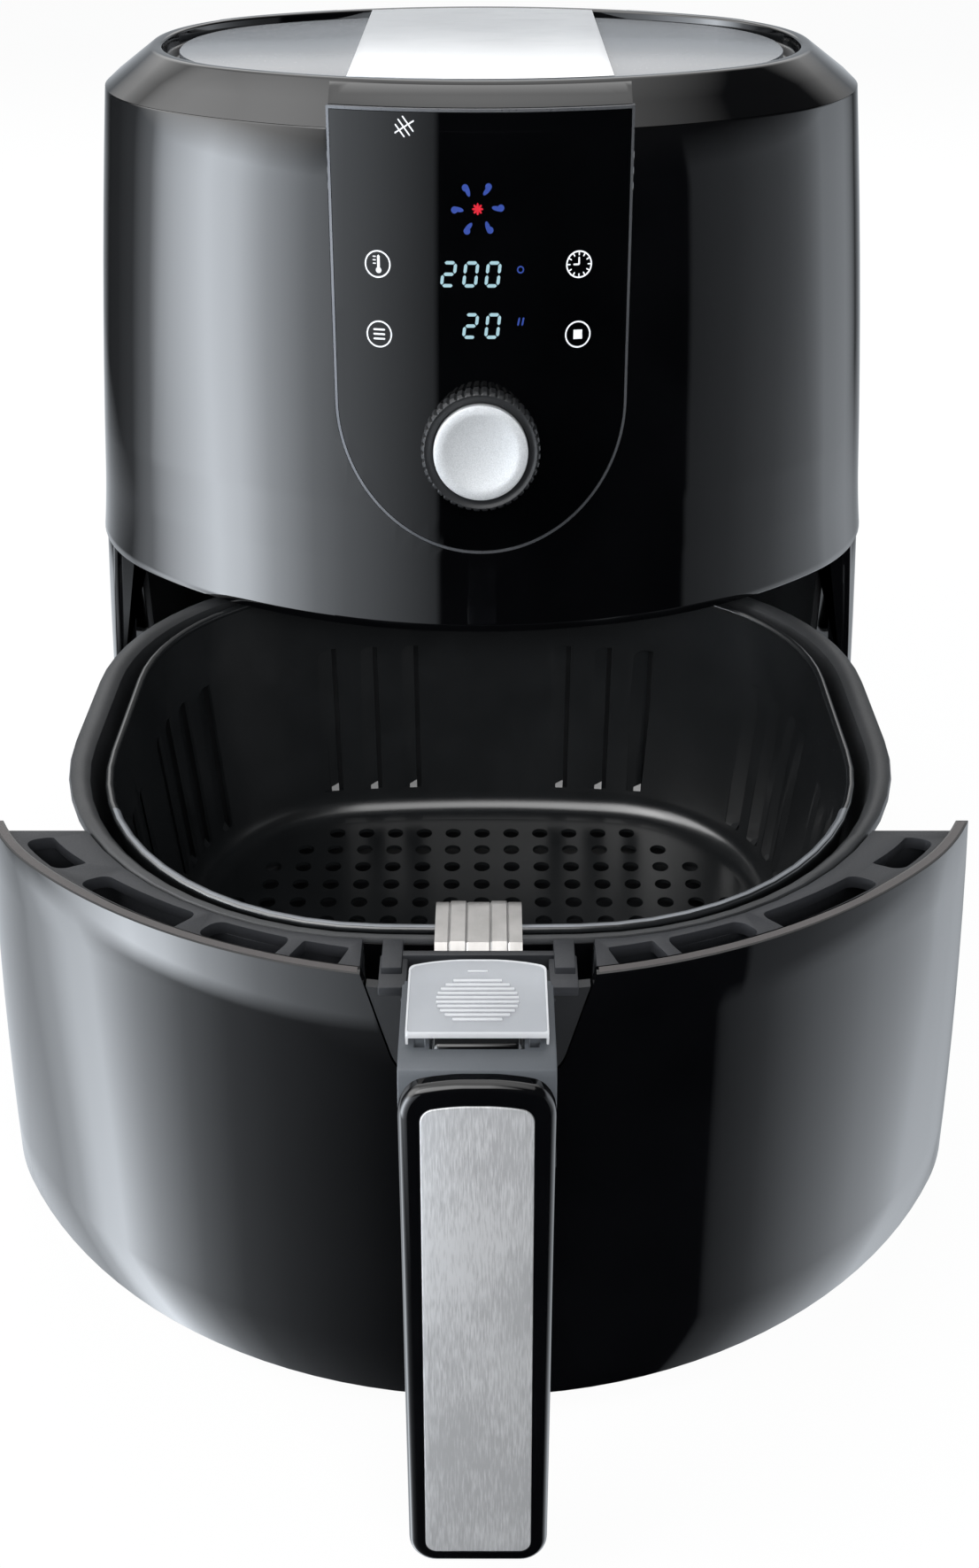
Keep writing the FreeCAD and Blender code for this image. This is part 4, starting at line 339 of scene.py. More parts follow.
CLEAR = Finish(
    "clear_guard_plastic", "clear_plastic", (0.44, 0.46, 0.49), (0.51, 0.53, 0.56),
    rough=(0.08, 0.16), grain=Grain(260.0, 2.0, 0.00004, 0.2), transmission=0.5,
)
# Whiter, less clear copy of the guard's plastic for its edges and ribs: a painted highlight.
CLEAR_HIGHLIGHT = Finish(
    "clear_guard_painted_highlight", "clear_plastic", (0.60, 0.61, 0.63), (0.68, 0.69, 0.71),
    rough=(0.10, 0.18), grain=Grain(260.0, 2.0), transmission=0.25,
)
RUBBER = Finish(
    "foot_rubber", "rubber", (0.014, 0.014, 0.015), (0.022, 0.022, 0.023),
    rough=(0.68, 0.82), specular=0.3, grain=Grain(1200.0, 5.0, 0.0002, 0.6),
)
SHEET = Finish(
    "bright_sheet_metal", "bright_sheet", (0.55, 0.55, 0.56), (0.66, 0.66, 0.67), 1.0,
    rough=(0.26, 0.42), grain=Grain(900.0, 4.0, 0.00006, 0.3, 120.0),
)
GREY_SHEET = Finish(
    "zinc_sheet_metal", "grey_sheet", (0.33, 0.34, 0.35), (0.44, 0.45, 0.46), 1.0,
    rough=(0.36, 0.52), grain=Grain(700.0, 4.0, 0.00006, 0.3), cloud=180.0,
)
HEATER = Finish(
    "heater_tube", "grey_sheet", (0.09, 0.085, 0.08), (0.15, 0.135, 0.12), 0.8,
    rough=(0.42, 0.60), grain=Grain(800.0, 4.0, 0.00008, 0.4), cloud=70.0,
)
BOARD = Finish(
    "circuit_board", "board", (0.010, 0.060, 0.028), (0.016, 0.085, 0.040),
    rough=(0.35, 0.5), grain=Grain(1600.0, 3.0, 0.00005, 0.3), cloud=260.0,
)
WHITE = Finish(
    "white_module_plastic", "white_plastic", (0.62, 0.62, 0.60), (0.70, 0.70, 0.68),
    rough=(0.4, 0.55), grain=Grain(1500.0, 3.0, 0.00005, 0.3),
)
BRASS = Finish(
    "touch_pad_brass", "spring_brass", (0.52, 0.38, 0.18), (0.62, 0.47, 0.24), 1.0,
    rough=(0.25, 0.38), grain=Grain(1500.0),
)
PALE_LIGHT = Finish(
    "pale_display_light", "panel_black", (0.18, 0.28, 0.31), (0.20, 0.30, 0.33),
    rough=(0.3, 0.4), glow=0.8, cloud=700.0,
)
BLUE_LIGHT = Finish(
    "blue_display_light", "panel_black", (0.013, 0.030, 0.155), (0.016, 0.036, 0.180),
    rough=(0.3, 0.4), glow=0.75, cloud=700.0,
)
RED_LIGHT = Finish(
    "red_display_light", "panel_black", (0.36, 0.005, 0.014), (0.42, 0.007, 0.018),
    rough=(0.3, 0.4), glow=0.6, cloud=700.0,
)
WHITE_PRINT = Finish(
    "white_panel_print", "panel_black", (0.60, 0.62, 0.66), (0.70, 0.72, 0.75),
    rough=(0.35, 0.5), glow=0.35, cloud=700.0,
)


@dataclass(frozen=True)
class Plan:
    """A body outline from above: front arc, corner arcs, straight sides and rear arc."""

    half_width: float
    front: float
    rear: float
    front_round: float
    rear_round: float
    corner: float
    front_corner: float

    def grown(self, by: float) -> "Plan":
        """The outline moved outwards by a distance."""
        return Plan(*(value + by for value in astuple(self)))

    def mixed(self, other: "Plan", share: float) -> "Plan":
        """The outline on the way to another one."""
        return Plan(*(a + (b - a) * share for a, b in zip(astuple(self), astuple(other))))

    def arc_radius(self, reach: float, corner: float) -> float:
        """Radius of the arc that meets both corner arcs smoothly."""
        side = self.half_width - corner
        return (side * side + reach * reach - corner * corner) / (2.0 * (reach - corner))

    @property
    def front_radius(self) -> float:
        """Radius of the front arc."""
        return self.arc_radius(self.front_round, self.front_corner)

    @property
    def rear_radius(self) -> float:
        """Radius of the rear arc."""
        return self.arc_radius(self.rear_round, self.corner)

    @property
    def ends(self) -> Pair:
        """Y of the front and the rear end of the straight side."""
        return self.front_round - self.front, self.rear - self.rear_round

    def front_at(self, x: float) -> float:
        """Y of the front arc at a distance from the middle plane."""
        return self.front_radius - self.front - math.sqrt(self.front_radius ** 2 - x * x)

    def rear_at(self, x: float) -> float:
        """Y of the rear arc at a distance from the middle plane."""
        return self.rear - self.rear_radius + math.sqrt(self.rear_radius ** 2 - x * x)

    def side_at(self, y: float) -> Pair:
        """Find the side at a place along Y.

        Args:
            y: The place.

        Returns:
            Its distance from the middle plane, and its turn to the rear in radians.
        """
        front_y, rear_y = self.ends
        corner = self.corner if y > rear_y else self.front_corner
        turn = math.asin((y - min(max(y, front_y), rear_y)) / corner)
        return self.half_width - corner * (1.0 - math.cos(turn)), turn

    def holds(self, x: float, y: float) -> bool:
        """Whether a point lies inside the outline."""
        return self.front_at(x) < y < self.rear_at(x) and abs(x) < self.side_at(y)[0]

    def trace(self, mesh: bmesh.types.BMesh, height: float) -> list[bmesh.types.BMEdge]:
        """Draw the outline by turning one vertex through its arcs and mirroring the run.

        Args:
            mesh: Mesh that takes the outline.
            height: Level of the outline.

        Returns:
            The edges of the closed outline.
        """
        old = set(mesh.edges)
        side = self.half_width - self.front_corner
        rear_side = self.half_width - self.corner
        front_y, rear_y = self.ends
        front_mid = self.front_radius - self.front
        rear_mid = self.rear - self.rear_radius
        front_turn = math.atan2(side, front_mid - front_y)
        rear_turn = math.atan2(rear_side, rear_y - rear_mid)
        tip = [mesh.verts.new((0.0, -self.front, height))]
        runs = (
            ((0.0, front_mid), front_turn, 0.0, 22),
            ((side, front_y), QUARTER - front_turn, 0.0, 14),
            ((side, 0.0), 0.0, rear_y - front_y, 6),
            ((rear_side, rear_y), QUARTER - rear_turn, 0.0, 14),
            ((0.0, rear_mid), rear_turn, 0.0, 14),
        )
        for middle, turn, run, steps in runs:
            arc = bmesh.ops.spin(
                mesh, geom=tip, cent=(*middle, height), axis=(0, 0, 1),
                dvec=(0.0, run / steps, 0.0), angle=turn, steps=steps,
            )
            tip = arc["geom_last"]
        edges = [edge for edge in mesh.edges if edge not in old]
        verts = {vert for edge in edges for vert in edge.verts}
        bmesh.ops.mirror(mesh, geom=[*verts, *edges], axis="X", merge_dist=0.01)
        return [edge for edge in mesh.edges if edge not in old]


BASE_PLAN = Plan(162.0, 107.0, 205.0, 127.0, 98.6, 80.0, 80.0)
SEAM_PLAN = Plan(155.0, 81.0, 197.0, 110.0, 96.4, 80.0, 80.0)
SHOULDER_PLAN = Plan(139.0, 50.0, 158.0, 95.0, 89.3, 74.0, 74.0)
TOP_PLAN = Plan(121.0, 36.0, 131.0, 81.0, 80.9, 66.0, 66.0)
BASKET_PLAN = Plan(120.4, 55.0, 166.0, 95.4, 77.2, 75.0, 95.0)
PAN_PLAN = Plan(125.5, 56.2, 170.5, 101.4, 81.7, 79.5, 101.0)
RIM_PLAN = Plan(134.0, 59.6, 179.0, 110.5, 90.2, 88.0, 110.0)
LINER_PLAN = Plan(141.0, 81.0, 184.5, 110.0, 94.0, 88.0, 88.0)
Profile = list[tuple[Plan, float]]


@dataclass(frozen=True)
class Envelope:
    """The housing's outer form from base to shoulder and on along the panel's slope."""

    base: float = 8.0
    slope: float = 31.0 / 166.0

    def plan(self, height: float) -> Plan:
        """The outline at a level, on the curve through the three drawn outlines.

        Args:
            height: Level above the floor.

        Returns:
            The outline there.
        """
        if height > SHOULDER:
            wide, front, *rest = astuple(SHOULDER_PLAN)
            return Plan(wide, front - (height - SHOULDER) * self.slope, *rest)
        levels = (self.base, SEAM, SHOULDER)
        shares = []
        for level in levels:
            others = [other for other in levels if other != level]
            shares.append(math.prod((height - other) / (level - other) for other in others))
        plans = zip(astuple(BASE_PLAN), astuple(SEAM_PLAN), astuple(SHOULDER_PLAN))
        return Plan(*(sum(share * value for share, value in zip(shares, values)) for values in plans))

    def wall(self, low: float, high: float, outer: float, inner: float, count: int) -> Profile:
        """A closed wall section between two levels.

        Args:
            low: Lower level.
            high: Upper level.
            outer: Outer face, out from the envelope.
            inner: Inner face, out from the envelope.
            count: Steps from low to high.

        Returns:
            Outlines up the outer face and down the inner one.
        """
        levels = [low + (high - low) * step / count for step in range(count + 1)]
        up = [(self.plan(level).grown(outer), level) for level in levels]
        down = [(self.plan(level).grown(inner), level) for level in reversed(levels)]
        return up + down

    def surface(self, x: float, height: float) -> float:
        """Y of the front at a point of the front view."""
        return self.plan(height).front_at(x)


ENVELOPE = Envelope()


def bevel(mesh: bmesh.types.BMesh, chosen: list, width: float, segments: int, **options: object) -> None:
    """Round the chosen edges of a mesh, or its corners with affect set to VERTICES."""
    options = {"affect": "EDGES", "profile": 0.5, "material": -1, **options}
    bmesh.ops.bevel(mesh, geom=chosen, offset=width, offset_type="OFFSET", segments=segments, **options)


def of_kind(items: Sequence[object], kind: type) -> list:
    """The items of one kind."""
    return [item for item in items if isinstance(item, kind)]


class Form:
    """A mesh that is being shaped, in millimetres, with the drawer shut."""

    def __init__(self) -> None:
        """Start with an empty mesh."""
        self.mesh = bmesh.new()

    def sweep(self, profile: Profile, ring: bool = True) -> "Form":
        """Join outlines into a skin.

        Args:
            profile: Outlines and their levels, in order.
            ring: Whether the last outline joins the first; if not, both are filled.

        Returns:
            The form itself.
        """
        loops = [plan.trace(self.mesh, level) for plan, level in profile]
        pairs = list(zip(loops, loops[1:]))
        if ring:
            pairs.append((loops[-1], loops[0]))
        for first, second in pairs:
            bmesh.ops.bridge_loops(self.mesh, edges=first + second)
        if not ring:
            bmesh.ops.edgeloop_fill(self.mesh, edges=loops[0])
            bmesh.ops.edgeloop_fill(self.mesh, edges=loops[-1])
        return self.outwards()

    def slab(self, plan: Plan, low: float, high: float) -> "Form":
        """Fill an outline between two levels."""
        return self.sweep([(plan, low), (plan, high)], ring=False)

    def tube(self, outer: Plan, inner: Plan, low: float, high: float) -> "Form":
        """Fill the space between two outlines and two levels."""
        return self.sweep([(outer, low), (outer, high), (inner, high), (inner, low)])

    def lathe(self, points: Sequence[Pair], steps: int) -> "Form":
        """Turn a run of radius and height about Z.

        Args:
            points: Radius and height of each point.
            steps: Steps of a full turn.

        Returns:
            The form itself.
        """
        verts = [self.mesh.verts.new((radius, 0.0, height)) for radius, height in points]
        edges = [self.mesh.edges.new(pair) for pair in zip(verts, verts[1:])]
        bmesh.ops.spin(
            self.mesh, geom=verts + edges, cent=(0, 0, 0), axis=(0, 0, 1),
            angle=math.tau, steps=steps, use_merge=True,
        )
        bmesh.ops.remove_doubles(self.mesh, verts=self.mesh.verts[:], dist=0.001)
        return self.outwards()

    def plate(
        self, outline: Sequence[Pair], low: float, high: float, radii: Sequence[float] = (),
        facing: Facing = Facing.UP, segments: int = 6,
    ) -> "Form":
        """Add a plate, with rounded corners if radii are given.

        Args:
            outline: Corners of the outline.
            low: Lower face.
            high: Upper face.
            radii: How far each corner is rounded along its sides.
            facing: Plane of the outline.
            segments: Steps of each rounded corner.

        Returns:
            The form itself.
        """
        part = bmesh.new()
        verts = [part.verts.new((x, y, low)) for x, y in outline]
        part.faces.new(verts)
        for radius in sorted({value for value in radii if value > 0.0}):
            chosen = [vert for vert, value in zip(verts, radii) if value == radius]
            bevel(part, chosen, radius, segments, affect="VERTICES")
        grown = bmesh.ops.extrude_face_region(part, geom=part.faces[:], use_keep_orig=True)
        raised = of_kind(grown["geom"], bmesh.types.BMVert)
        bmesh.ops.translate(part, verts=raised, vec=(0.0, 0.0, high - low))
        bmesh.ops.transform(part, matrix=facing.value, verts=part.verts[:])
        bmesh.ops.recalc_face_normals(part, faces=part.faces[:])
        return self.take(part)

    def block(self, low: Point, high: Point) -> "Form":
        """Add a block between two corners."""
        outline = ((low[0], low[1]), (high[0], low[1]), (high[0], high[1]), (low[0], high[1]))
        return self.plate(outline, low[2], high[2])

    def twins(self, low: Point, high: Point) -> "Form":
        """Add a block and its twin on the other side of the middle plane."""
        self.block(low, high)
        return self.block((-high[0], *low[1:]), (-low[0], *high[1:]))

    def rod(self, x: float, y: float, low: float, high: float, radius: float, steps: int = 24) -> "Form":
        """Add an upright rod.

        Args:
            x: Its middle across.
            y: Its middle from front to back.
            low: Lower end.
            high: Upper end.
            radius: Its radius.
            steps: Steps of a full turn.

        Returns:
            The form itself.
        """
        part = bmesh.new()
        bmesh.ops.create_cone(
            part, cap_ends=True, segments=steps, radius1=radius, radius2=radius, depth=high - low,
            matrix=Matrix.Translation((x, y, (low + high) / 2.0)),
        )
        return self.take(part)

    def take(self, part: bmesh.types.BMesh) -> "Form":
        """Add the faces of another mesh and free it.

        Args:
            part: The other mesh.

        Returns:
            The form itself.
        """
        data = bpy.data.meshes.new("part")
        part.to_mesh(data)
        part.free()
        self.mesh.from_mesh(data)
        bpy.data.meshes.remove(data)
        return self

    def join(self, *others: "Form") -> "Form":
        """Add other forms, which are used up.

        Args:
            others: The forms.

        Returns:
            The form itself.
        """
        for other in others:
            self.take(other.mesh)
        return self

    def outwards(self) -> "Form":
        """Turn all faces outwards."""
        bmesh.ops.recalc_face_normals(self.mesh, faces=self.mesh.faces[:])
        return self

    @property
    def geometry(self) -> list:
        """All vertices, edges and faces."""
        return self.mesh.verts[:] + self.mesh.edges[:] + self.mesh.faces[:]

    def slice(self, point: Point, normal: Point) -> "Form":
        """Take away what lies beyond a plane and close the cut.

        Args:
            point: A point of the plane.
            normal: The side that goes.

        Returns:
            The form itself.
        """
        bmesh.ops.bisect_plane(
            self.mesh, geom=self.geometry, plane_co=point, plane_no=normal, clear_outer=True,
        )
        open_edges = [edge for edge in self.mesh.edges if edge.is_boundary]
        bmesh.ops.holes_fill(self.mesh, edges=open_edges, sides=0)
        return self.outwards()

    def ahead(self, y: float) -> "Form":
        """Keep what lies in front of a plane across Y."""
        return self.slice((0.0, y, 0.0), (0.0, 1.0, 0.0))

    def behind(self, y: float) -> "Form":
        """Keep what lies behind a plane across Y."""
        return self.slice((0.0, y, 0.0), (0.0, -1.0, 0.0))

    def within(self, half: float) -> "Form":
        """Keep what lies within a distance from the middle plane."""
        self.slice((half, 0.0, 0.0), (1.0, 0.0, 0.0))
        return self.slice((-half, 0.0, 0.0), (-1.0, 0.0, 0.0))

    def mirror(self) -> "Form":
        """Repeat the form on the other side of the middle plane."""
        bmesh.ops.mirror(self.mesh, geom=self.geometry, axis="X", merge_dist=0.001)
        return self.outwards()

    def move(self, matrix: Matrix) -> "Form":
        """Place the form by a matrix."""
        bmesh.ops.transform(self.mesh, matrix=matrix, verts=self.mesh.verts[:])
        return self

    def ease(
        self, width: float, segments: int = 2, least: float = 60.0,
        where: Optional[Callable[[Vector], bool]] = None, clamp: bool = True,
    ) -> "Form":
        """Round the edges between faces that meet at an angle.

        Args:
            width: Width of the rounding.
            segments: Steps of the rounding.
            least: Least angle between the faces, in degrees.
            where: Test for the middle of an edge.
            clamp: Whether short edges beside it limit the rounding.

        Returns:
            The form itself.
        """
        chosen = []
        for edge in self.mesh.edges:
            if len(edge.link_faces) == 2 and edge.calc_face_angle(0.0) > math.radians(least):
                middle = (edge.verts[0].co + edge.verts[1].co) / 2.0
                if where is None or where(middle):
                    chosen.append(edge)
        bevel(self.mesh, chosen, width, segments, clamp_overlap=clamp)
        return self

    def item(self, name: str) -> bpy.types.Object:
        """Write the mesh into a new object of the scene.

        Args:
            name: Name of the object and its mesh.

        Returns:
            The object.
        """
        data = bpy.data.meshes.new(name)
        self.mesh.to_mesh(data)
        item = bpy.data.objects.new(name, data)
        bpy.context.scene.collection.objects.link(item)
        return item

    def combine(self, tool: "Form", way: Cut) -> "Form":
        """Cut this form with another one, which is used up.

        Args:
            tool: Closed form to cut with.
            way: Whether the shared space is taken away or kept.

        Returns:
            The form itself.
        """
        owner, cutter = self.item("owner"), tool.item("cutter")
        change = owner.modifiers.new("Cut", "BOOLEAN")
        change.operation = way.value
        change.solver = "EXACT"
        change.object = cutter
        graph = bpy.context.evaluated_depsgraph_get()
        result = bpy.data.meshes.new_from_object(owner.evaluated_get(graph))
        self.mesh.clear()
        self.mesh.from_mesh(result)
        for data in (owner.data, cutter.data, result):
            bpy.data.meshes.remove(data)
        tool.mesh.free()
        bmesh.ops.remove_doubles(self.mesh, verts=self.mesh.verts[:], dist=0.002)
        return self

    def piece(
        self, name: str, finish: Finish, carrier: Carrier, replaces: str = "", sharp: float = 32.0,
        mirrored: bool = True,
    ) -> None:
        """Turn the form into a finished piece of the object.

        Args:
            name: Name of the piece.
            finish: Its material.
            carrier: The body that it moves with.
            replaces: CAD node that it stands for.
            sharp: Angle in degrees above which an edge stays sharp.
            mirrored: Whether the gloss of other pieces shows it.
        """
        self.move(Matrix.Scale(MM, 4) @ Matrix.Translation((0.0, carrier.shift, 0.0)))
        for face in self.mesh.faces:
            face.smooth = True
        for edge in self.mesh.edges:
            if len(edge.link_faces) == 2:
                edge.smooth = edge.calc_face_angle(0.0) < math.radians(sharp)
        item = self.item(name)
        self.mesh.free()
        item.data.materials.append(finish.material())
        item.visible_glossy = mirrored
        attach(item, carrier.body)
        if replaces:
            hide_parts(replaces)
        LOG.info("%s: %d faces on %s", name, len(item.data.polygons), carrier.body)


@dataclass
class Housing:
    """Hood, rear shell, bay liner and the bevelled top."""

    wall: float = 3.0
    flare: float = 1.0
    flare_height: float = 26.0
    flare_steps: tuple[float, ...] = (0.0, 3.0, 6.0, 10.0, 14.0, 18.0, 22.0, 26.0, 42.0)
    upper_step: float = 20.0
    panel_gap: float = 0.9
    vent: Box = ((-44.4, 60.0, 221.6), (44.4, FAR, 266.4))
    seam_gap: float = 0.8
    bay_front: float = -4.2
    lip: float = 5.0
    liner_low: float = 13.0
    liner_high: float = 146.5
    liner_front: float = 1.6
    liner_wall: float = 2.4
    rail: Box = ((131.5, 6.0, 129.6), (141.4, 126.0, 135.6))
    ring_edge: float = 4.0
    ring_groove: float = 6.0
    ring_ledge: float = 6.0
    ring_foot: float = 315.0
    lid_top: float = 321.0
    lid_floor: float = 318.0
    strip_half: float = 44.6
    strip_gap: float = 0.4

    def build(self) -> None:
        """Build every shell of the housing."""
        self.hood()
        self.rear()
        self.liner()
        self.top()

    def hood(self) -> None:
        """Upper shell with its windows for the panel and the air outlet."""
        levels = [SEAM + step for step in self.flare_steps]
        levels += [SHOULDER - step * self.upper_step for step in range(6, -1, -1)]
        outer = []
        for level in levels:
            low = max(0.0, 1.0 - (level - SEAM) / self.flare_height)
            outer.append((ENVELOPE.plan(level).grown(self.flare * low * low), level))
        inner = [(ENVELOPE.plan(level).grown(-self.wall), level) for level in reversed(levels)]
        form = Form().sweep(outer + inner).ease(0.7)
        form.combine(ControlPanel().prism(self.panel_gap), Cut.TAKE)
        form.combine(Form().block(*self.vent), Cut.TAKE)
        form.piece("hood", GLOSS, Carrier.HOUSING, "hood_shell")

    def rear(self) -> None:
        """Lower shell behind the drawer with thick front edges."""
        low, high, inset = ENVELOPE.base, SEAM - self.seam_gap, 0.6
        form = Form().sweep(ENVELOPE.wall(low, high, 0.0, -self.wall, 7)).behind(self.bay_front).ease(0.6)
        section = ENVELOPE.wall(low + inset, high - inset, 0.1 - self.wall, -self.wall - self.lip, 7)
        lips = Form().sweep(section).behind(self.bay_front + 0.2).ahead(self.bay_front + self.lip).ease(0.8)
        form.join(lips).piece("rear_housing", GLOSS, Carrier.HOUSING, "rear_shell")

    def liner(self) -> None:
        """Side and rear walls of the drawer bay with their rails."""
        outer = LINER_PLAN.grown(self.liner_wall)
        form = Form().tube(outer, LINER_PLAN, self.liner_low, self.liner_high)
        form.behind(self.liner_front).ease(0.6)
        rails = Form().block(*self.rail).ease(1.2).mirror()
        form.join(rails).piece("bay_walls", MATTE, Carrier.HOUSING, "bay_liner")

    def top(self) -> None:
        """Bevelled ring, lid panel and steel strip."""
        edge = TOP_PLAN.grown(-self.ring_edge)
        plan = edge.grown(-self.ring_groove)
        inner = plan.grown(-self.ring_ledge)
        profile = []
        for share in (0.0, 0.5, 1.0):
            profile.append((SHOULDER_PLAN.mixed(TOP_PLAN, share), SHOULDER + (TOP - SHOULDER) * share))
        profile += [(edge, TOP), (edge, self.lid_floor), (inner, self.lid_floor), (inner, self.ring_foot)]
        ring = Form().sweep(profile + [(SHOULDER_PLAN.grown(-self.wall), SHOULDER)])
        ring.ease(0.9, 3, 25.0, lambda middle: middle.z > SHOULDER + 0.1)
        ring.piece("top_ring", GLOSS, Carrier.HOUSING, "top_cover")
        lid = Form().slab(plan, self.lid_floor, self.lid_top)
        lid.slice((self.strip_half + self.strip_gap, 0.0, 0.0), (-1.0, 0.0, 0.0))
        lid.ease(0.6, least=40.0).mirror().piece("lid_halves", LID_SATIN, Carrier.HOUSING, "lid_panel")
        strip = Form().slab(edge.grown(-self.strip_gap), self.lid_floor, TOP).within(self.strip_half)
        strip.ease(0.5, least=40.0).piece("top_strip", STRIP_STEEL, Carrier.HOUSING, "top_trim_plate")


def turned(x: float, y: float, turn: float) -> Matrix:
    """A place in a plane with a turn in degrees."""
    return Matrix.Translation((x, y, 0.0)) @ Matrix.Rotation(math.radians(turn), 4, "Z")


@dataclass
class ControlPanel:
    """Curved gloss panel with its bright line, head strip and lit marks."""

    half_width: float = 50.0
    foot: float = 173.0
    head: float = 316.0
    margin: float = 8.0
    thick: float = 4.0
    gap: float = 0.4
    line_rise: float = 0.12
    line_depth: float = 3.0
    line_outer: float = 0.7
    line_inner: float = -0.2
    head_gap: float = 0.9
    print_lift: float = 0.06
    left: float = -34.6
    right: float = 33.1
    high: float = 268.7
    low: float = 246.2
    mark_radius: float = 4.4
    mark_line: float = 0.5
    digit_size: float = 7.9
    digit_slant: float = 0.12
    numbers: tuple[tuple[int, float, float], ...] = (
        (2, -10.7, 266.2), (0, -3.3, 266.2), (0, 4.2, 266.2), (2, -3.4, 249.7), (0, 4.1, 249.7),
    )
    fan: Pair = (-0.9, 286.6)
    food: Pair = (-24.8, 311.2)

    def build(self) -> None:
        """Build the panel and everything printed on it."""
        self.plate()
        self.line()
        self.head_strip()
        self.digits()
        self.fan_mark()
        self.ring_marks()
        self.food_mark()

    def prism(self, outset: float) -> Form:
        """The panel's U outline carried through in depth.

        Args:
            outset: How far the outline is moved out.

        Returns:
            A closed form.
        """
        half, low, high = self.half_width + outset, self.foot - outset, self.head + outset
        corners = ((half, high), (-half, high), (-half, low), (half, low))
        bend = half * 0.999
        return Form().plate(corners, -FAR, 0.0, (0.0, 0.0, bend, bend), Facing.FRONT, 40)

    def shell(self, outer: float, inner: float) -> Form:
        """A stretch of the front wall about the panel."""
        low, high = self.foot - self.margin, self.head + self.margin
        return Form().sweep(ENVELOPE.wall(low, high, outer, inner, 16))

    def plate(self) -> None:
        """The gloss panel itself."""
        form = self.shell(0.0, -self.thick).combine(self.prism(-self.gap), Cut.KEEP)
        form.piece("control_panel_face", PANEL_GLOSS, Carrier.HOUSING, "control_panel")

    def line(self) -> None:
        """Thin bright line round the panel."""
        form = self.shell(self.line_rise, -self.line_depth).combine(self.prism(self.line_outer), Cut.KEEP)
        form.combine(self.prism(self.line_inner), Cut.TAKE)
        form.piece("panel_line", LINE_METAL, Carrier.HOUSING, "panel_bezel")

    def head_strip(self) -> None:
        """Strip from the panel's upper edge back to the top ring."""
        low, high = self.head + self.head_gap, TOP - 1.0
        front = ENVELOPE.plan(self.head)
        profile = []
        for level in (low, high):
            profile.append((front.mixed(TOP_PLAN, (level - self.head) / (TOP - self.head)), level))
        for level in (high, low):
            profile.append((SHOULDER_PLAN.mixed(TOP_PLAN, (level - SHOULDER) / (TOP - SHOULDER)), level))
        form = Form().sweep(profile).ahead(0.0).within(self.half_width)
        form.piece("panel_head_strip", PANEL_GLOSS, Carrier.HOUSING, "panel_head")

    def wrap(self, form: Form, name: str, finish: Finish) -> None:
        """Bend a flat mark onto the panel and finish it.

        Args:
            form: Mark drawn with its height along Y.
            name: Name of the piece.
            finish: Its material.
        """
        for vert in form.mesh.verts:
            x, height, lift = vert.co
            vert.co = (x, ENVELOPE.surface(x, height) - lift, height)
        form.outwards().piece(name, finish, Carrier.HOUSING)

    def hoop(self, x: float, height: float, outer: float, inner: float) -> Form:
        """A flat ring on the panel.

        Args:
            x: Its middle across.
            height: Its middle in height.
            outer: Outer radius.
            inner: Inner radius.

        Returns:
            The flat form.
        """
        lift = self.print_lift
        points = ((inner, 0.0), (outer, 0.0), (outer, lift), (inner, lift), (inner, 0.0))
        return Form().lathe(points, 36).move(turned(x, height, 0.0))

    def bar(self, x: float, height: float, length: float, width: float, turn: float = 0.0) -> Form:
        """A flat bar with pointed ends, along X before its turn.

        Args:
            x: Its middle across.
            height: Its middle in height.
            length: Length between the points.
            width: Its width.
            turn: Turn in degrees.

        Returns:
            The flat form.
        """
        half, tip = length / 2.0, width / 2.0
        neck = half - tip
        outline = ((-half, 0.0), (-neck, -tip), (neck, -tip), (half, 0.0), (neck, tip), (-neck, tip))
        return Form().plate(outline, 0.0, self.print_lift).move(turned(x, height, turn))

    def disc(self, x: float, height: float, radius: float, stretch: float = 1.0, turn: float = 0.0) -> Form:
        """A flat round or oval spot."""
        form = Form().rod(0.0, 0.0, 0.0, self.print_lift, radius, 28)
        return form.move(turned(x, height, turn) @ Matrix.Diagonal((stretch, 1.0, 1.0, 1.0)))

    def digit(self, value: int, x: float, height: float) -> Form:
        """A slanted seven-segment digit.

        Args:
            value: The digit.
            x: Middle of the digit.
            height: Middle of the digit.

        Returns:
            The flat form.
        """
        wide, tall, stroke = self.digit_size * 0.50, self.digit_size * 0.46, self.digit_size * 0.135
        side, rise = 0.5 * wide, 0.5 * tall
        places = {
            "a": (0.0, tall, wide, 0.0), "g": (0.0, 0.0, wide, 0.0), "d": (0.0, -tall, wide, 0.0),
            "f": (-side, rise, tall, 90.0), "b": (side, rise, tall, 90.0),
            "e": (-side, -rise, tall, 90.0), "c": (side, -rise, tall, 90.0),
        }
        form = Form()
        for name in {0: "abcdef", 2: "abged"}[value]:
            across, up, length, turn = places[name]
            form.join(self.bar(across, up, length - stroke * 0.45, stroke, turn))
        slant = Matrix.Translation((x, height, 0.0))
        slant[0][1] = self.digit_slant
        return form.move(slant)

    def digits(self) -> None:
        """Temperature and time on the display, with plain unit marks."""
        form = Form().join(*(self.digit(*number) for number in self.numbers))
        self.wrap(form, "display_digits", PALE_LIGHT)
        marks = self.hoop(13.4, 267.6, 1.2, 0.75)
        for x in (12.9, 14.3):
            marks.join(self.bar(x, 251.0, 2.8, 0.6, 78.0))
        self.wrap(marks, "display_units", BLUE_LIGHT)

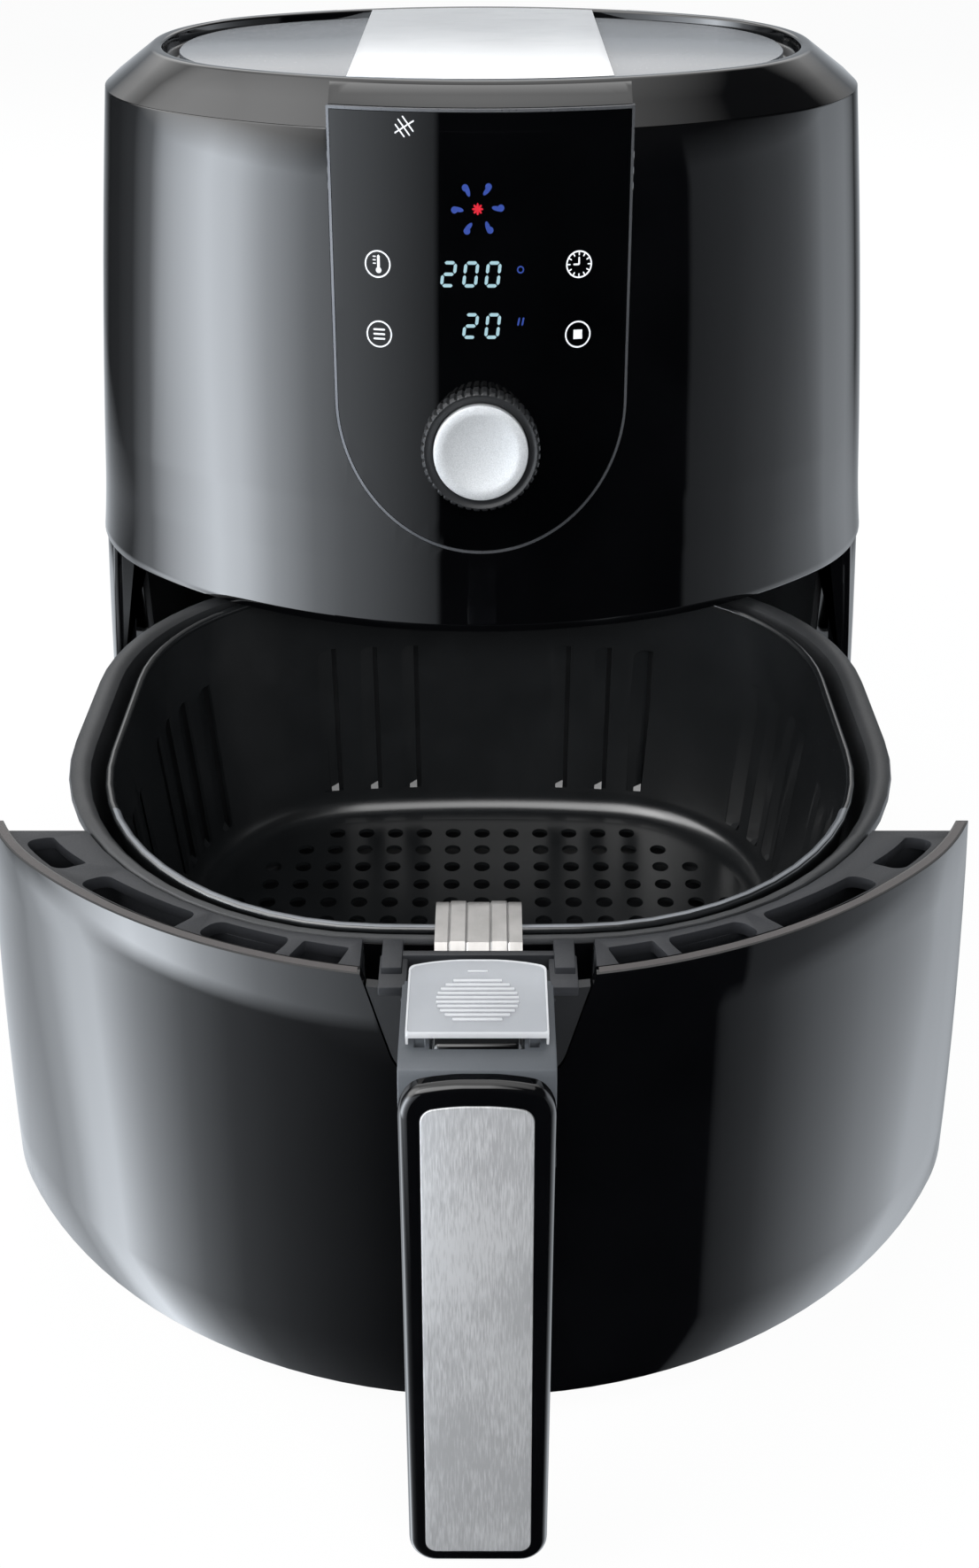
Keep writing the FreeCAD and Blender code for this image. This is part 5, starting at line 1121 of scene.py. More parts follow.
    def fan_mark(self) -> None:
        """Six curved petals round a red star."""
        petals = Form()
        for step in range(6):
            blade = self.disc(6.6, 0.1, 0.75, 2.6, -12.0).join(self.disc(7.7, 0.3, 1.1))
            petals.join(blade.move(turned(*self.fan, 60.0 * step)))
        self.wrap(petals, "fan_petals", BLUE_LIGHT)
        star = self.disc(*self.fan, 0.85)
        for step in range(4):
            star.join(self.bar(*self.fan, 3.8, 0.7, 45.0 * step))
        self.wrap(star, "fan_star", RED_LIGHT)

    def ring_marks(self) -> None:
        """Four touch marks: thermometer, clock, menu bars and stop square."""
        left, right, high, low = self.left, self.right, self.high, self.low
        rim, stop, tick = self.mark_radius, 1.5, 3.4
        form = Form()
        for x in (left, right):
            for height in (high, low):
                form.join(self.hoop(x, height, rim, rim - self.mark_line))
        form.join(self.bar(left + 0.3, high + 0.7, 4.6, 0.9, 90.0), self.disc(left + 0.3, high - 1.9, 0.95))
        for step in range(3):
            form.join(self.bar(left - 1.1, high + 2.4 - step * 1.1, 1.2, 0.35))
        form.join(self.bar(right, high + 1.1, 2.6, 0.55, 90.0), self.bar(right - 0.9, high, 2.2, 0.55))
        for step in range(12):
            away = turned(right, high, 30.0 * step) @ Vector((tick, 0.0, 0.0))
            form.join(self.bar(away.x, away.y, 1.2, 0.4, 30.0 * step))
        for step in (-1, 0, 1):
            form.join(self.bar(left, low + step * 1.5, 4.2, 0.6))
        form.block((right - stop, low - stop, 0.0), (right + stop, low + stop, self.print_lift))
        self.wrap(form, "touch_marks", WHITE_PRINT)

    def food_mark(self) -> None:
        """Crossed sticks as a plain food mark."""
        form = Form()
        lean, cross, width = -52.0, 31.0, 0.45
        sticks = ((lean, -1.9, 5.0), (lean, -0.2, 6.4), (lean, 1.5, 6.0), (cross, 0.0, 7.6))
        for turn, shift, length in sticks:
            away = turned(*self.food, turn) @ Vector((0.0, shift, 0.0))
            form.join(self.bar(away.x, away.y, length, width, turn))
        self.wrap(form, "food_sticks", WHITE_PRINT)


@dataclass
class Dial:
    """Knurled turning ring with a silver push cap."""

    height: float = 210.0
    radius: float = 20.4
    knurl: float = 19.5
    bore: float = 16.6
    grooves: int = 44
    groove_steps: int = 4
    groove: float = 0.75
    cap: float = 16.2
    cap_edge: float = 3.2
    cap_rise: float = 14.6
    cap_foot: float = 7.6
    stem: float = 4.0
    stem_end: float = -15.3
    dish: float = 1.5

    @property
    def place(self) -> Matrix:
        """Frame of the dial.

        Returns:
            A matrix with Z out of the panel.
        """
        lean = math.atan(ENVELOPE.slope)
        y = (self.height - SEAM) * ENVELOPE.slope - SEAM_PLAN.front
        return Matrix.Translation((0.0, y, self.height)) @ Matrix.Rotation(QUARTER - lean, 4, "X")

    def build(self) -> None:
        """Build the ring and the cap."""
        self.ring()
        self.button()

    def ring(self) -> None:
        """Turning ring with its grooves."""
        profile = (
            (9.0, -2.0), (9.0, 0.8), (19.9, 0.8), (self.radius, 1.4), (self.radius, 11.9), (19.9, 12.7),
            (19.3, 12.9), (18.9, 12.8), (17.1, 11.7), (self.bore, 11.1), (self.bore, 3.3), (5.0, 3.3),
            (5.0, -2.0), (9.0, -2.0),
        )
        columns = self.grooves * self.groove_steps
        form = Form().lathe(profile, columns)
        valleys = []
        for vert in form.mesh.verts:
            column = round(math.atan2(vert.co.y, vert.co.x) * columns / math.tau)
            if math.hypot(vert.co.x, vert.co.y) > self.knurl and column % self.groove_steps == 0:
                valleys.append(vert)
        share = 1.0 - self.groove / self.radius
        bmesh.ops.scale(form.mesh, vec=(share, share, 1.0), verts=valleys)
        form.move(self.place).piece("dial_grip", SATIN, Carrier.DIAL, "dial_ring", 24.0)

    def button(self) -> None:
        """Push cap with a hollow face and its stem."""
        cap, top, rim = self.cap, self.cap_rise, self.cap - self.cap_edge
        points = [(0.0, top - self.dish)]
        for share in (0.2, 0.4, 0.6, 0.75, 0.88, 0.96):
            points.append((rim * share, top - self.dish * (1.0 - share ** 2.2)))
        points += [
            (rim, top - 0.03), (rim + 0.5, top), (cap - 0.7, top), (cap - 0.2, top - 0.2), (cap, top - 0.7),
            (cap, self.cap_foot), (self.stem, self.cap_foot), (self.stem, self.stem_end),
            (0.0, self.stem_end),
        ]
        Form().lathe(points, 96).move(self.place).piece("dial_cap", BLASTED, Carrier.CAP, "push_cap")


@dataclass
class Drawer:
    """Drawer front, slotted ledge, pan, basket with its floor, and the clip."""

    wall: float = 3.5
    top: float = 143.2
    end: float = -5.0
    end_gap: float = 0.8
    strip_depth: float = 0.3
    strip_rise: float = 0.06
    strip_outer: float = 0.75
    strip_inner: float = 0.6
    strip_end: float = 0.7
    notch: float = 32.0
    notch_foot: float = 21.5
    notch_depth: float = 32.0
    notch_round: float = 8.0
    infill_low: float = 100.0
    infill_high: float = 139.6
    infill_inset: float = 0.3
    infill_gap: float = 0.4
    infill_cut: Box = ((-19.7, -FAR, 129.6), (19.7, 0.0, SEAM))
    ledge: float = 140.0
    ledge_thick: float = 4.0
    ledge_gap: float = 0.4
    channel: float = 112.0
    channel_wall: float = 2.5
    sectors: tuple[Point, ...] = ((21.0, 28.4, 1.2), (30.4, 42.6, 3.4), (45.8, 62.0, 3.4), (65.8, 73.5, 3.4))
    sector_middle: float = 29.0
    sector_outer: float = -6.5
    sector_inner: float = -14.5
    cut_low: float = 105.0
    cut_high: float = 150.0
    plate_low: float = 124.0
    plate_high: float = 138.7
    pan_floor: float = 15.5
    pan_base: float = 14.0
    pan_draft: float = 9.0
    pan_bend: float = 8.0
    pan_edge: float = 136.0
    pan_rim: tuple[Pair, ...] = (
        (0.0, 137.2), (0.08, 139.0), (0.27, 139.85), (0.5, 140.0), (0.74, 139.75), (0.92, 138.9),
        (1.0, 137.5), (0.99, 136.5), (0.92, 136.0),
    )
    posts: tuple[Pair, ...] = ((-85.0, -6.0), (-85.0, 121.0), (85.0, -6.0), (85.0, 121.0))
    post_radius: float = 5.0
    rim: float = 139.0
    bead: float = 1.4
    # Lift over the bead and rear end of the lighter ring that paints the rim's highlight; behind its end the
    # rim keeps the plain coating, as if in shade.
    highlight_lift: float = 0.06
    highlight_end: float = 6.0
    sheet: float = 1.5
    base: float = 39.0
    floor: float = 42.0
    draft: float = 6.5
    bend: float = 9.0
    lip: float = 2.4
    lip_top: float = 40.4
    hole: float = 3.2
    pitch: float = 11.7
    middle: float = 55.2
    hole_field: float = 101.0
    slot_level: float = 83.5
    slot_reach: float = 31.5
    slot_start: float = -5.6
    slot_edge: float = 0.4
    slot_end: float = 2.2
    slot_depth: float = 2.2
    slot_back: float = 5.0
    rear_slots: tuple[float, ...] = (30.0, 46.0, 62.0)
    rear_shift: float = 2.7
    side_slots: tuple[float, ...] = (30.0, 44.0, 58.0, 92.5, 104.0, 115.0, 126.5)

    @property
    def basket(self) -> Plan:
        """Outer plan of the basket's wall."""
        return BASKET_PLAN.grown(-self.bead)

    def build(self) -> None:
        """Build every piece of the drawer."""
        self.front()
        self.neck_fill()
        self.frame()
        self.pan()
        self.wall_sheet()
        self.floor_sheet()
        self.clip()

    def notch_prism(self, inset: float) -> Form:
        """The notch for the handle's neck, carried through in depth.

        Args:
            inset: How far its sides and foot are moved in.

        Returns:
            A closed form.
        """
        head, foot = self.notch - inset, self.notch_foot - inset
        low, high = SEAM - self.notch_depth + inset, SEAM + 1.0
        corners = ((head, high), (-head, high), (-foot, low), (foot, low))
        radii = (0.0, 0.0, self.notch_round, self.notch_round)
        return Form().plate(corners, -FAR, 0.0, radii, Facing.FRONT, 8)

    def across(self, half: float, low: float, high: float) -> Form:
        """A block in front of the middle, for cuts as wide as the notch."""
        return Form().block((-half, -FAR, low), (half, 0.0, high))

    def front(self) -> None:
        """Curved gloss front with its notch, and the dull strip on its upper edge."""
        form = Form().sweep(ENVELOPE.wall(ENVELOPE.base, self.top, 0.0, -self.wall, 8))
        form.ahead(self.end).ease(0.7).combine(self.notch_prism(0.0), Cut.TAKE)
        form.piece("drawer_face", GLOSS, Carrier.DRAWER, "drawer_front")
        low, high = self.top - self.strip_depth, self.top + self.strip_rise
        edge = Form().sweep(ENVELOPE.wall(low, high, -self.strip_outer, self.strip_inner - self.wall, 1))
        edge.ahead(self.end - self.strip_end).combine(self.notch_prism(-self.strip_end), Cut.TAKE)
        edge.piece("drawer_face_edge", EDGE_BROWN, Carrier.DRAWER, mirrored=False)

    def neck_fill(self) -> None:
        """Plate that fills the notch round the neck."""
        section = ENVELOPE.wall(self.infill_low, self.infill_high, -self.infill_inset, -self.wall, 4)
        form = Form().sweep(section).combine(self.notch_prism(self.infill_gap), Cut.KEEP)
        form.combine(Form().block(*self.infill_cut), Cut.TAKE)
        form.piece("neck_infill", SATIN, Carrier.DRAWER, "neck_plate")

    def sector(self, start: float, end: float, corner: float) -> Form:
        """A slot cutter that follows the drawer's outline.

        Args:
            start: First angle from the front, in degrees.
            end: Last angle.
            corner: Rounding of its corners.

        Returns:
            A closed form on the right side.
        """
        outer, inner = SEAM_PLAN.grown(self.sector_outer), SEAM_PLAN.grown(self.sector_inner)
        form = Form().tube(outer, inner, self.cut_low, self.cut_high)
        centre = (0.0, self.sector_middle, 0.0)
        for angle, side in ((start, -1.0), (end, 1.0)):
            turn = math.radians(angle)
            form.slice(centre, (side * math.cos(turn), side * math.sin(turn), 0.0))
        form.slice(centre, (-1.0, 0.0, 0.0)).ahead(self.sector_middle)
        upright = []
        for edge in form.mesh.edges:
            rise = abs(edge.verts[1].co.z - edge.verts[0].co.z)
            if rise > 40.0 and edge.calc_face_angle(0.0) > math.radians(50.0):
                upright.append(edge)
        bevel(form.mesh, upright, corner, 6)
        return form

    def band(self, outer: Plan, inner: Plan, low: float, high: float) -> Form:
        """A level band between two outlines that ends with the drawer.

        Args:
            outer: Its outer outline.
            inner: Its inner outline.
            low: Its lower face.
            high: Its upper face.

        Returns:
            A closed form.
        """
        over = 5.0
        form = Form().slab(outer, low, high)
        form.combine(Form().slab(inner, low - over, high + over), Cut.TAKE)
        return form.ahead(self.end - self.end_gap)

    def frame(self) -> None:
        """Slotted ledge behind the front, on a channel round the pan, and the plate in its notch: a gloss
        black sheet that stands for the bracket's body and paints shade over the pan's wall there.
        """
        low, top, foot = self.ledge - self.ledge_thick, self.ledge, self.channel
        high = low + 0.1
        hole = RIM_PLAN.grown(self.ledge_gap)
        form = self.band(ENVELOPE.plan(top).grown(-self.wall), hole, low, top)
        cutter = Form().join(*(self.sector(*sector).mirror() for sector in self.sectors))
        form.combine(cutter, Cut.TAKE)
        form.combine(self.across(self.notch, self.cut_low, self.cut_high), Cut.TAKE).ease(0.5, least=55.0)
        skirt = self.band(hole.grown(self.channel_wall), hole, foot, high)
        skirt.combine(self.across(self.notch, foot + 5.0, self.cut_high), Cut.TAKE)
        outer = ENVELOPE.plan(foot).grown(-self.wall)
        bed = self.band(outer, hole, foot, foot + self.channel_wall)
        gate = self.band(outer, hole, foot, high).behind(self.end - self.end_gap - self.channel_wall)
        form.join(skirt, bed, gate).piece("drawer_ledge", LEDGE_SATIN, Carrier.DRAWER, "drawer_frame")
        # Gloss black sheet just outside the pan's rim within the notch, hidden from reflections: partly the
        # bracket's body, partly painted shade over the pan wall seen through the notch.
        shade_plate = self.band(RIM_PLAN.grown(0.7), RIM_PLAN.grown(0.1), self.plate_low, self.plate_high)
        shade_plate.combine(self.across(self.notch - 0.3, self.cut_low, self.cut_high), Cut.KEEP)
        shade_plate.piece("bracket_plate_painted_shade", GLOSS, Carrier.DRAWER, mirrored=False)

    def dish(self, plan: Plan, low: float, draft: float, turn: float) -> Profile:
        """The rounded foot of a bowl, from its floor to the start of the wall.

        Args:
            plan: Outline at the top of the wall.
            low: Level of the floor.
            draft: How much the wall narrows down to its foot.
            turn: Rounding of the foot.

        Returns:
            Outlines from the floor outwards and up.
        """
        profile = []
        for step in range(7):
            angle = math.radians(15.0 * step)
            inset = -draft - turn * (1.0 - math.sin(angle))
            profile.append((plan.grown(inset), low + turn * (1.0 - math.cos(angle))))
        return profile

    def pan(self) -> None:
        """Outer pan with a rounded matte rim and posts for the basket."""
        plan = PAN_PLAN.grown(self.sheet)
        inner = self.dish(PAN_PLAN, self.pan_floor, self.pan_draft, self.pan_bend)
        over = [(PAN_PLAN.mixed(RIM_PLAN, share), level) for share, level in self.pan_rim]
        outer = self.dish(plan, self.pan_base, self.pan_draft, self.pan_bend)
        form = Form().sweep(inner + over + [(plan, self.pan_edge), *reversed(outer)], ring=False)
        for x, y in self.posts:
            form.rod(x, y, self.pan_base + 0.5, self.base, self.post_radius)
        form.piece("outer_pan", PAN_COAT, Carrier.DRAWER, "pan")

    def louvre(self, place: Matrix) -> tuple[Form, Form]:
        """One pressed louvre: a ramp in the wall with a round head, a slit and a sloping foot.

        Args:
            place: Frame with X along the wall, Y outwards and Z up.

        Returns:
            The cutter for the wall and the pressed sheet behind it.
        """
        reach, start, edge, end = self.slot_reach, self.slot_start, self.slot_edge, self.slot_end
        depth, back, inside = self.slot_depth, self.slot_back, -1.2
        ramp = ((start, inside), (start, -0.02), (edge, depth), (edge, back), (end, back), (end, inside))
        window = ((start, -reach), (end, -reach), (end, reach), (start, reach))
        mask = Form().plate(window, -2.0, 6.0, (0.0, 0.0, 0.0, 4.8), Facing.FRONT)
        cutter = Form().plate(ramp, -reach, reach).combine(mask, Cut.KEEP)
        sheet = ((-3.0, 1.0), (edge, depth + 0.03), (edge, depth + 0.8), (-3.0, 2.0))
        foot = ((0.0, -reach), (back - 2.0, -reach), (back - 2.0, 3.2 - reach))
        scoop = Form().plate(sheet, -reach - 0.4, reach + 0.4).plate(foot, -2.5, edge, facing=Facing.SIDE)
        return cutter.move(place), scoop.move(place)

    def curl(self, radius: float, angles: Sequence[float]) -> Profile:
        """Outlines round the bead of the basket's rim, at angles from outwards over the top."""
        turns = [math.radians(angle) for angle in angles]
        return [
            (self.basket.grown(radius * math.cos(turn)), self.rim + radius * math.sin(turn)) for turn in turns
        ]

    def wall_sheet(self) -> None:
        """Basket wall with its rolled rim and pressed louvres, and a lighter ring over the rim's front as a
        painted highlight.
        """
        plan = self.basket
        # Lighter ring over the bead's front part only, ending before the rear where the rim is in shade: a
        # painted highlight.
        rolled = Form().sweep(self.curl(self.bead + self.highlight_lift, range(170, 50, -10)))
        rolled.ahead(self.highlight_end).piece("basket_rim_painted_highlight", RIM_HIGHLIGHT, Carrier.DRAWER)
        inner = self.dish(plan.grown(-self.sheet), self.floor, self.draft, self.bend)
        bead = self.curl(self.bead, (*range(225, -1, -25), -30, -60, -85))
        outer = self.dish(plan, self.base, self.draft, self.bend)
        foot = plan.grown(-self.draft - self.bend)
        lip, seat = foot.grown(-self.lip), foot.grown(-self.sheet - 0.1)
        under = [(lip, self.base), (lip, self.lip_top), (seat, self.lip_top)]
        form = Form().sweep([*inner, *bead, *reversed(outer), *under])
        tall = self.rim - self.floor - self.bend
        inside = plan.grown(-self.sheet - self.draft * (self.rim - self.slot_level) / tall)
        tip = Matrix.Rotation(-math.atan(self.draft / tall), 4, "X")
        places = []
        for side in (1.0, -1.0):
            for out in self.rear_slots:
                x = side * out + self.rear_shift
                places.append((x, inside.rear_at(x), -math.asin(x / inside.rear_radius)))
            for y in self.side_slots:
                x, turn = inside.side_at(y)
                places.append((side * x, y, side * (turn - QUARTER)))
        cutter, scoops = Form(), Form()
        for x, y, turn in places:
            spot = Matrix.Translation((x, y, self.slot_level)) @ Matrix.Rotation(turn, 4, "Z")
            slot, scoop = self.louvre(spot @ tip)
            cutter.join(slot)
            scoops.join(scoop)
        form.combine(cutter.outwards(), Cut.TAKE).join(scoops)
        form.piece("basket_wall", COATED, Carrier.DRAWER, "basket")

    def floor_sheet(self) -> None:
        """Perforated floor of the basket."""
        plan = self.basket.grown(-self.draft - self.bend - self.sheet)
        form = Form().slab(plan, self.floor - self.sheet, self.floor)
        inside = plan.grown(-1.0 - self.hole)
        reach = int(self.hole_field / self.pitch) + 1
        low, high = self.floor - 3.0, self.floor + 3.0
        steps = [step * self.pitch for step in range(-reach, reach + 1)]
        holes = Form()
        for x in steps:
            for y in steps:
                if math.hypot(x, y) < self.hole_field and inside.holds(x, self.middle + y):
                    holes.rod(x, self.middle + y, low, high, self.hole, 18)
        form.combine(holes, Cut.TAKE)
        form.piece("basket_bottom", COATED, Carrier.DRAWER, "basket_floor")

    def clip(self) -> None:
        """Ribbed metal strap over the basket's front rim, with a sloping front edge."""
        form = Form()
        half, rib, groove = 12.0, 0.35, -0.3
        front, level, tail, thick = -66.0, 140.2, -7.2, 2.0
        bend = (0.0, -47.9, 136.1)
        right = (
            (2.9, 0.0), (3.25, groove), (3.7, rib), (7.7, rib), (8.15, groove), (8.5, 0.0), (half, 0.0),
        )
        section = [(-x, rise) for x, rise in reversed(right)] + list(right)
        start = [form.mesh.verts.new((x, front, level + rise)) for x, rise in section]
        row = [form.mesh.edges.new(pair) for pair in zip(start, start[1:])]
        for forward, rise in ((0.0, 0.6), (1.9, 1.95), (4.0, 0.0), (12.2, 0.0)):
            row = self.push(form, row, (0.0, forward, rise))
        bent = bmesh.ops.spin(
            form.mesh, geom=row + list({vert for edge in row for vert in edge.verts}),
            cent=bend, axis=(1, 0, 0), angle=-QUARTER, steps=8,
        )
        self.push(form, of_kind(bent["geom_last"], bmesh.types.BMEdge), (0.0, 0.0, tail))
        form.outwards()
        bmesh.ops.solidify(form.mesh, geom=form.mesh.faces[:], thickness=thick)
        form.outwards()
        form.piece("basket_strap", CLIP_STEEL, Carrier.DRAWER, "basket_clip", 25.0, mirrored=False)

    def push(self, form: Form, row: list[bmesh.types.BMEdge], step: Point) -> list[bmesh.types.BMEdge]:
        """Extrude a row of edges by a step.

        Args:
            form: Form that holds the row.
            row: Edges to extrude.
            step: Distance along each axis.

        Returns:
            The new row.
        """
        grown = bmesh.ops.extrude_edge_only(form.mesh, edges=row)["geom"]
        verts = of_kind(grown, bmesh.types.BMVert)
        bmesh.ops.translate(form.mesh, verts=verts, vec=step)
        return [edge for edge in of_kind(grown, bmesh.types.BMEdge) if set(verts).issuperset(edge.verts)]


@dataclass
class Handle:
    """Neck, clear guard, release button and the long handle with its steel inlay."""

    neck_half: float = 19.3
    neck_top: float = 150.6
    neck_back: float = -81.0
    neck_step: float = 143.2
    under: float = 130.0
    well: Box = ((-11.6, -116.2, 141.8), (11.6, -96.6, 160.0))
    pocket: Box = ((12.8, -115.6, 147.0), (15.4, -112.4, 160.0))
    cross_bar: Box = ((-21.2, -69.2, 136.8), (21.2, -67.0, 142.3))
    bar_floor: Box = ((8.4, -82.0, 136.4), (20.6, -68.0, 137.2))
    bar_shelf: Box = ((19.0, -81.2, 138.0), (26.6, -67.4, 141.0))
    bar_lug: Box = ((20.4, -75.6, 139.0), (26.0, -63.2, 143.2))
    guard_half: float = 17.6
    guard_low: float = 151.9
    guard_high: float = 154.5
    guard_front: float = -115.0
    guard_rear: float = -86.2
    guard_flank: float = -88.7
    guard_arch: float = 9.0
    guard_border: float = 0.6
    rib_count: int = 10
    rib_pitch: float = 1.66
    rib_half: float = 0.42
    rib_middle: float = -102.4
    rib_reach: float = 10.4
    rib_oval: float = 5.6
    key: Box = ((-10.8, -115.6, 147.1), (10.8, -97.0, 151.0))
    flange: Box = ((-11.2, -115.2, 144.7), (11.2, -97.2, 147.15))
    top_y: float = -128.0
    top_z: float = 150.0
    foot_y: float = -163.0
    foot_z: float = 13.0
    half: float = 19.3
    taper: float = 1.2
    face: float = 5.0
    grip: float = 16.0
    neck_length: float = 26.0
    arch: float = 2.6
    crown: float = 8.6
    inlay_half: float = 14.0
    inlay_head: float = -6.0
    inlay_foot: float = 3.5
    inlay_gap: float = 0.12
    inlay_depth: float = 0.8
    inlay_arch: float = 1.4
    inlay_crown: float = 6.4

    @property
    def length(self) -> float:
        """Length of the handle along its face."""
        return math.hypot(self.top_z - self.foot_z, self.top_y - self.foot_y)

    @property
    def place(self) -> Matrix:
        """Frame of the handle: origin at its top edge, Z out of its face, Y up along it."""
        lean = math.atan((self.top_y - self.foot_y) / (self.top_z - self.foot_z))
        return Matrix.Translation((0.0, self.top_y, self.top_z)) @ Matrix.Rotation(QUARTER - lean, 4, "X")

    def build(self) -> None:
        """Build the handle and its release."""
        self.neck()
        self.guard()
        self.button()
        self.front()
        self.inlay()
        self.back()

    def outline(self, inset: float, top: float, foot: float) -> tuple[Pair, ...]:
        """The handle's tapering outline in its own frame.

        Args:
            inset: How far the sides are moved in.
            top: Distance of the upper end from the handle's top edge.
            foot: Distance of the lower end.

        Returns:
            Four corners, from the upper left one round to the upper right one.
        """
        wide = self.half - inset
        narrow = wide - self.taper * foot / self.length
        return ((-wide, -top), (-narrow, -foot), (narrow, -foot), (wide, -top))

    def neck(self) -> None:
        """Neck of the handle with its cross beam on the pan's rim."""
        back, top, step = self.neck_back, self.neck_top, self.neck_step
        upper = self.place @ Vector((0.0, -1.2, -self.face))
        lower = self.place @ Vector((0.0, -self.neck_length, -self.face))
        inner = self.place @ Vector((0.0, -self.neck_length, -self.face - self.grip))
        profile = (
            (back, self.under), (back, step), (back - 6.6, step), (back - 10.6, top), (upper.y + 6.4, top),
            (upper.y + 3.0, top - 0.4), (upper.y + 1.0, top - 1.3), (upper.y, upper.z), (lower.y, lower.z),
            (inner.y, inner.z), (inner.y + 14.0, self.under),
        )
        form = Form().plate(profile, -self.neck_half, self.neck_half, facing=Facing.SIDE)
        form.combine(Form().block(*self.well).twins(*self.pocket), Cut.TAKE).ease(0.9, 3, 25.0)
        form.piece("handle_neck", NECK_SATIN, Carrier.DRAWER, "handle_bracket", mirrored=False)
        beam = Form().block(*self.cross_bar)
        for part in (self.bar_floor, self.bar_shelf, self.bar_lug):
            beam.twins(*part)
        beam.ease(0.4).piece("neck_beam", LEDGE_SATIN, Carrier.DRAWER, mirrored=False)

    def roof(self, inset: float, low: float, high: float) -> Form:
        """The guard's outline with its arched rear edge, as a plate.

        Args:
            inset: How far the outline is moved in.
            low: Lower face.
            high: Upper face.

        Returns:
            A closed form.
        """
        half, arch = self.guard_half - inset, self.guard_arch
        front, rear, flank = self.guard_front + inset, self.guard_rear - inset, self.guard_flank - inset
        outline = ((-half, front), (half, front), (half, flank), (arch, rear), (-arch, rear), (-half, flank))
        return Form().plate(outline, low, high, (0.8, 0.8, 1.5, 5.5, 5.5, 1.5))

    def guard(self) -> None:
        """Clear sliding guard with an arched rear edge, thin edges and an oval field of ribs; edges and ribs
        take a whiter, less clear copy of the guard's plastic as a painted highlight.
        """
        half, low, high = self.guard_half, self.guard_low, self.guard_high
        self.roof(0.3, low + 1.0, high - 0.2).piece("clear_guard", CLEAR, Carrier.GUARD, "button_guard")
        hollow = self.roof(self.guard_border, low, high + 1.0)
        edges = self.roof(0.0, low + 0.8, high).combine(hollow, Cut.TAKE)
        edges.twins((half - 0.7, -114.7, low - 3.0), (half, -90.2, low + 1.2))
        edges.twins((half - 3.4, -112.6, low - 0.6), (half - 1.6, -110.8, low + 0.9))
        edges.block((0.8 - half, -114.8, low + 0.7), (half - 0.8, -114.3, low + 1.2))
        edges.ease(0.35).piece("guard_edges", CLEAR_HIGHLIGHT, Carrier.GUARD, mirrored=False)
        foot = high - 0.3
        ribs = Form().block((-2.6, -91.4, foot), (2.6, -90.8, high + 0.15))
        for step in range(self.rib_count):
            place = step - (self.rib_count - 1) / 2.0
            wide = self.rib_reach * math.sqrt(1.0 - (place / self.rib_oval) ** 2)
            y = self.rib_middle + place * self.rib_pitch
            ribs.block((-wide, y - self.rib_half, foot), (wide, y + self.rib_half, high + 0.3))
        ribs.ease(0.2).piece("guard_ribs", CLEAR_HIGHLIGHT, Carrier.GUARD, mirrored=False)

    def button(self) -> None:
        """Release button with a rounded gloss lip and a flange under it."""
        form = Form().block(*self.key).ease(1.6, 4).block(*self.flange)
        form.piece("release_key", GLOSS, Carrier.RELEASE, "release_button")

    def front(self) -> None:
        """Gloss frame of the handle with an arched top, rounded edges and a recess."""
        corners = (*self.outline(0.0, self.arch, self.length), (self.crown, 0.0), (-self.crown, 0.0))
        form = Form().plate(corners, -self.face, 0.0, (7.0, 7.0, 7.0, 7.0, 5.5, 5.5), segments=10)
        form.ease(2.4, 6, where=lambda middle: middle.z > -1.0, clamp=False)
        form.combine(self.inlay_plate(0.0, 2.0), Cut.TAKE).move(self.place)
        form.piece("handle_frame", GLOSS, Carrier.DRAWER, "handle_face")

    def inlay_plate(self, inset: float, high: float) -> Form:
        """The inlay's outline as a plate on the floor of the recess.

        Args:
            inset: How far the outline is moved in.
            high: Upper face.

        Returns:
            A closed form in the handle's own frame.
        """
        half, crown = self.inlay_half - inset, self.inlay_crown
        head, foot = self.inlay_head - inset, self.inlay_foot + inset - self.length
        side = head - self.inlay_arch
        corners = ((-half, side), (-half, foot), (half, foot), (half, side), (crown, head), (-crown, head))
        return Form().plate(corners, -self.inlay_depth, high, (3.0, 3.0, 3.0, 3.0, 4.0, 4.0))

    def inlay(self) -> None:
        """Brushed steel inlay."""
        form = self.inlay_plate(self.inlay_gap, 0.0)
        form.ease(0.45, 3, where=lambda middle: middle.z > -0.1, clamp=False).move(self.place)
        form.piece("handle_steel", STEEL, Carrier.DRAWER, "handle_inlay")

    def back(self) -> None:
        """Back of the handle, rounded for the fingers."""
        outline = self.outline(1.2, self.neck_length + 0.4, self.length - 2.4)
        back, neck = -self.face - self.grip, -self.neck_length - 1.0
        form = Form().plate(outline, back, -self.face, (0.0, 7.0, 7.0, 0.0), segments=8)
        form.ease(5.6, 5, where=lambda middle: middle.z < back + 0.5 and middle.y < neck)
        form.move(self.place).piece("handle_grip", SATIN, Carrier.DRAWER, "handle_core")


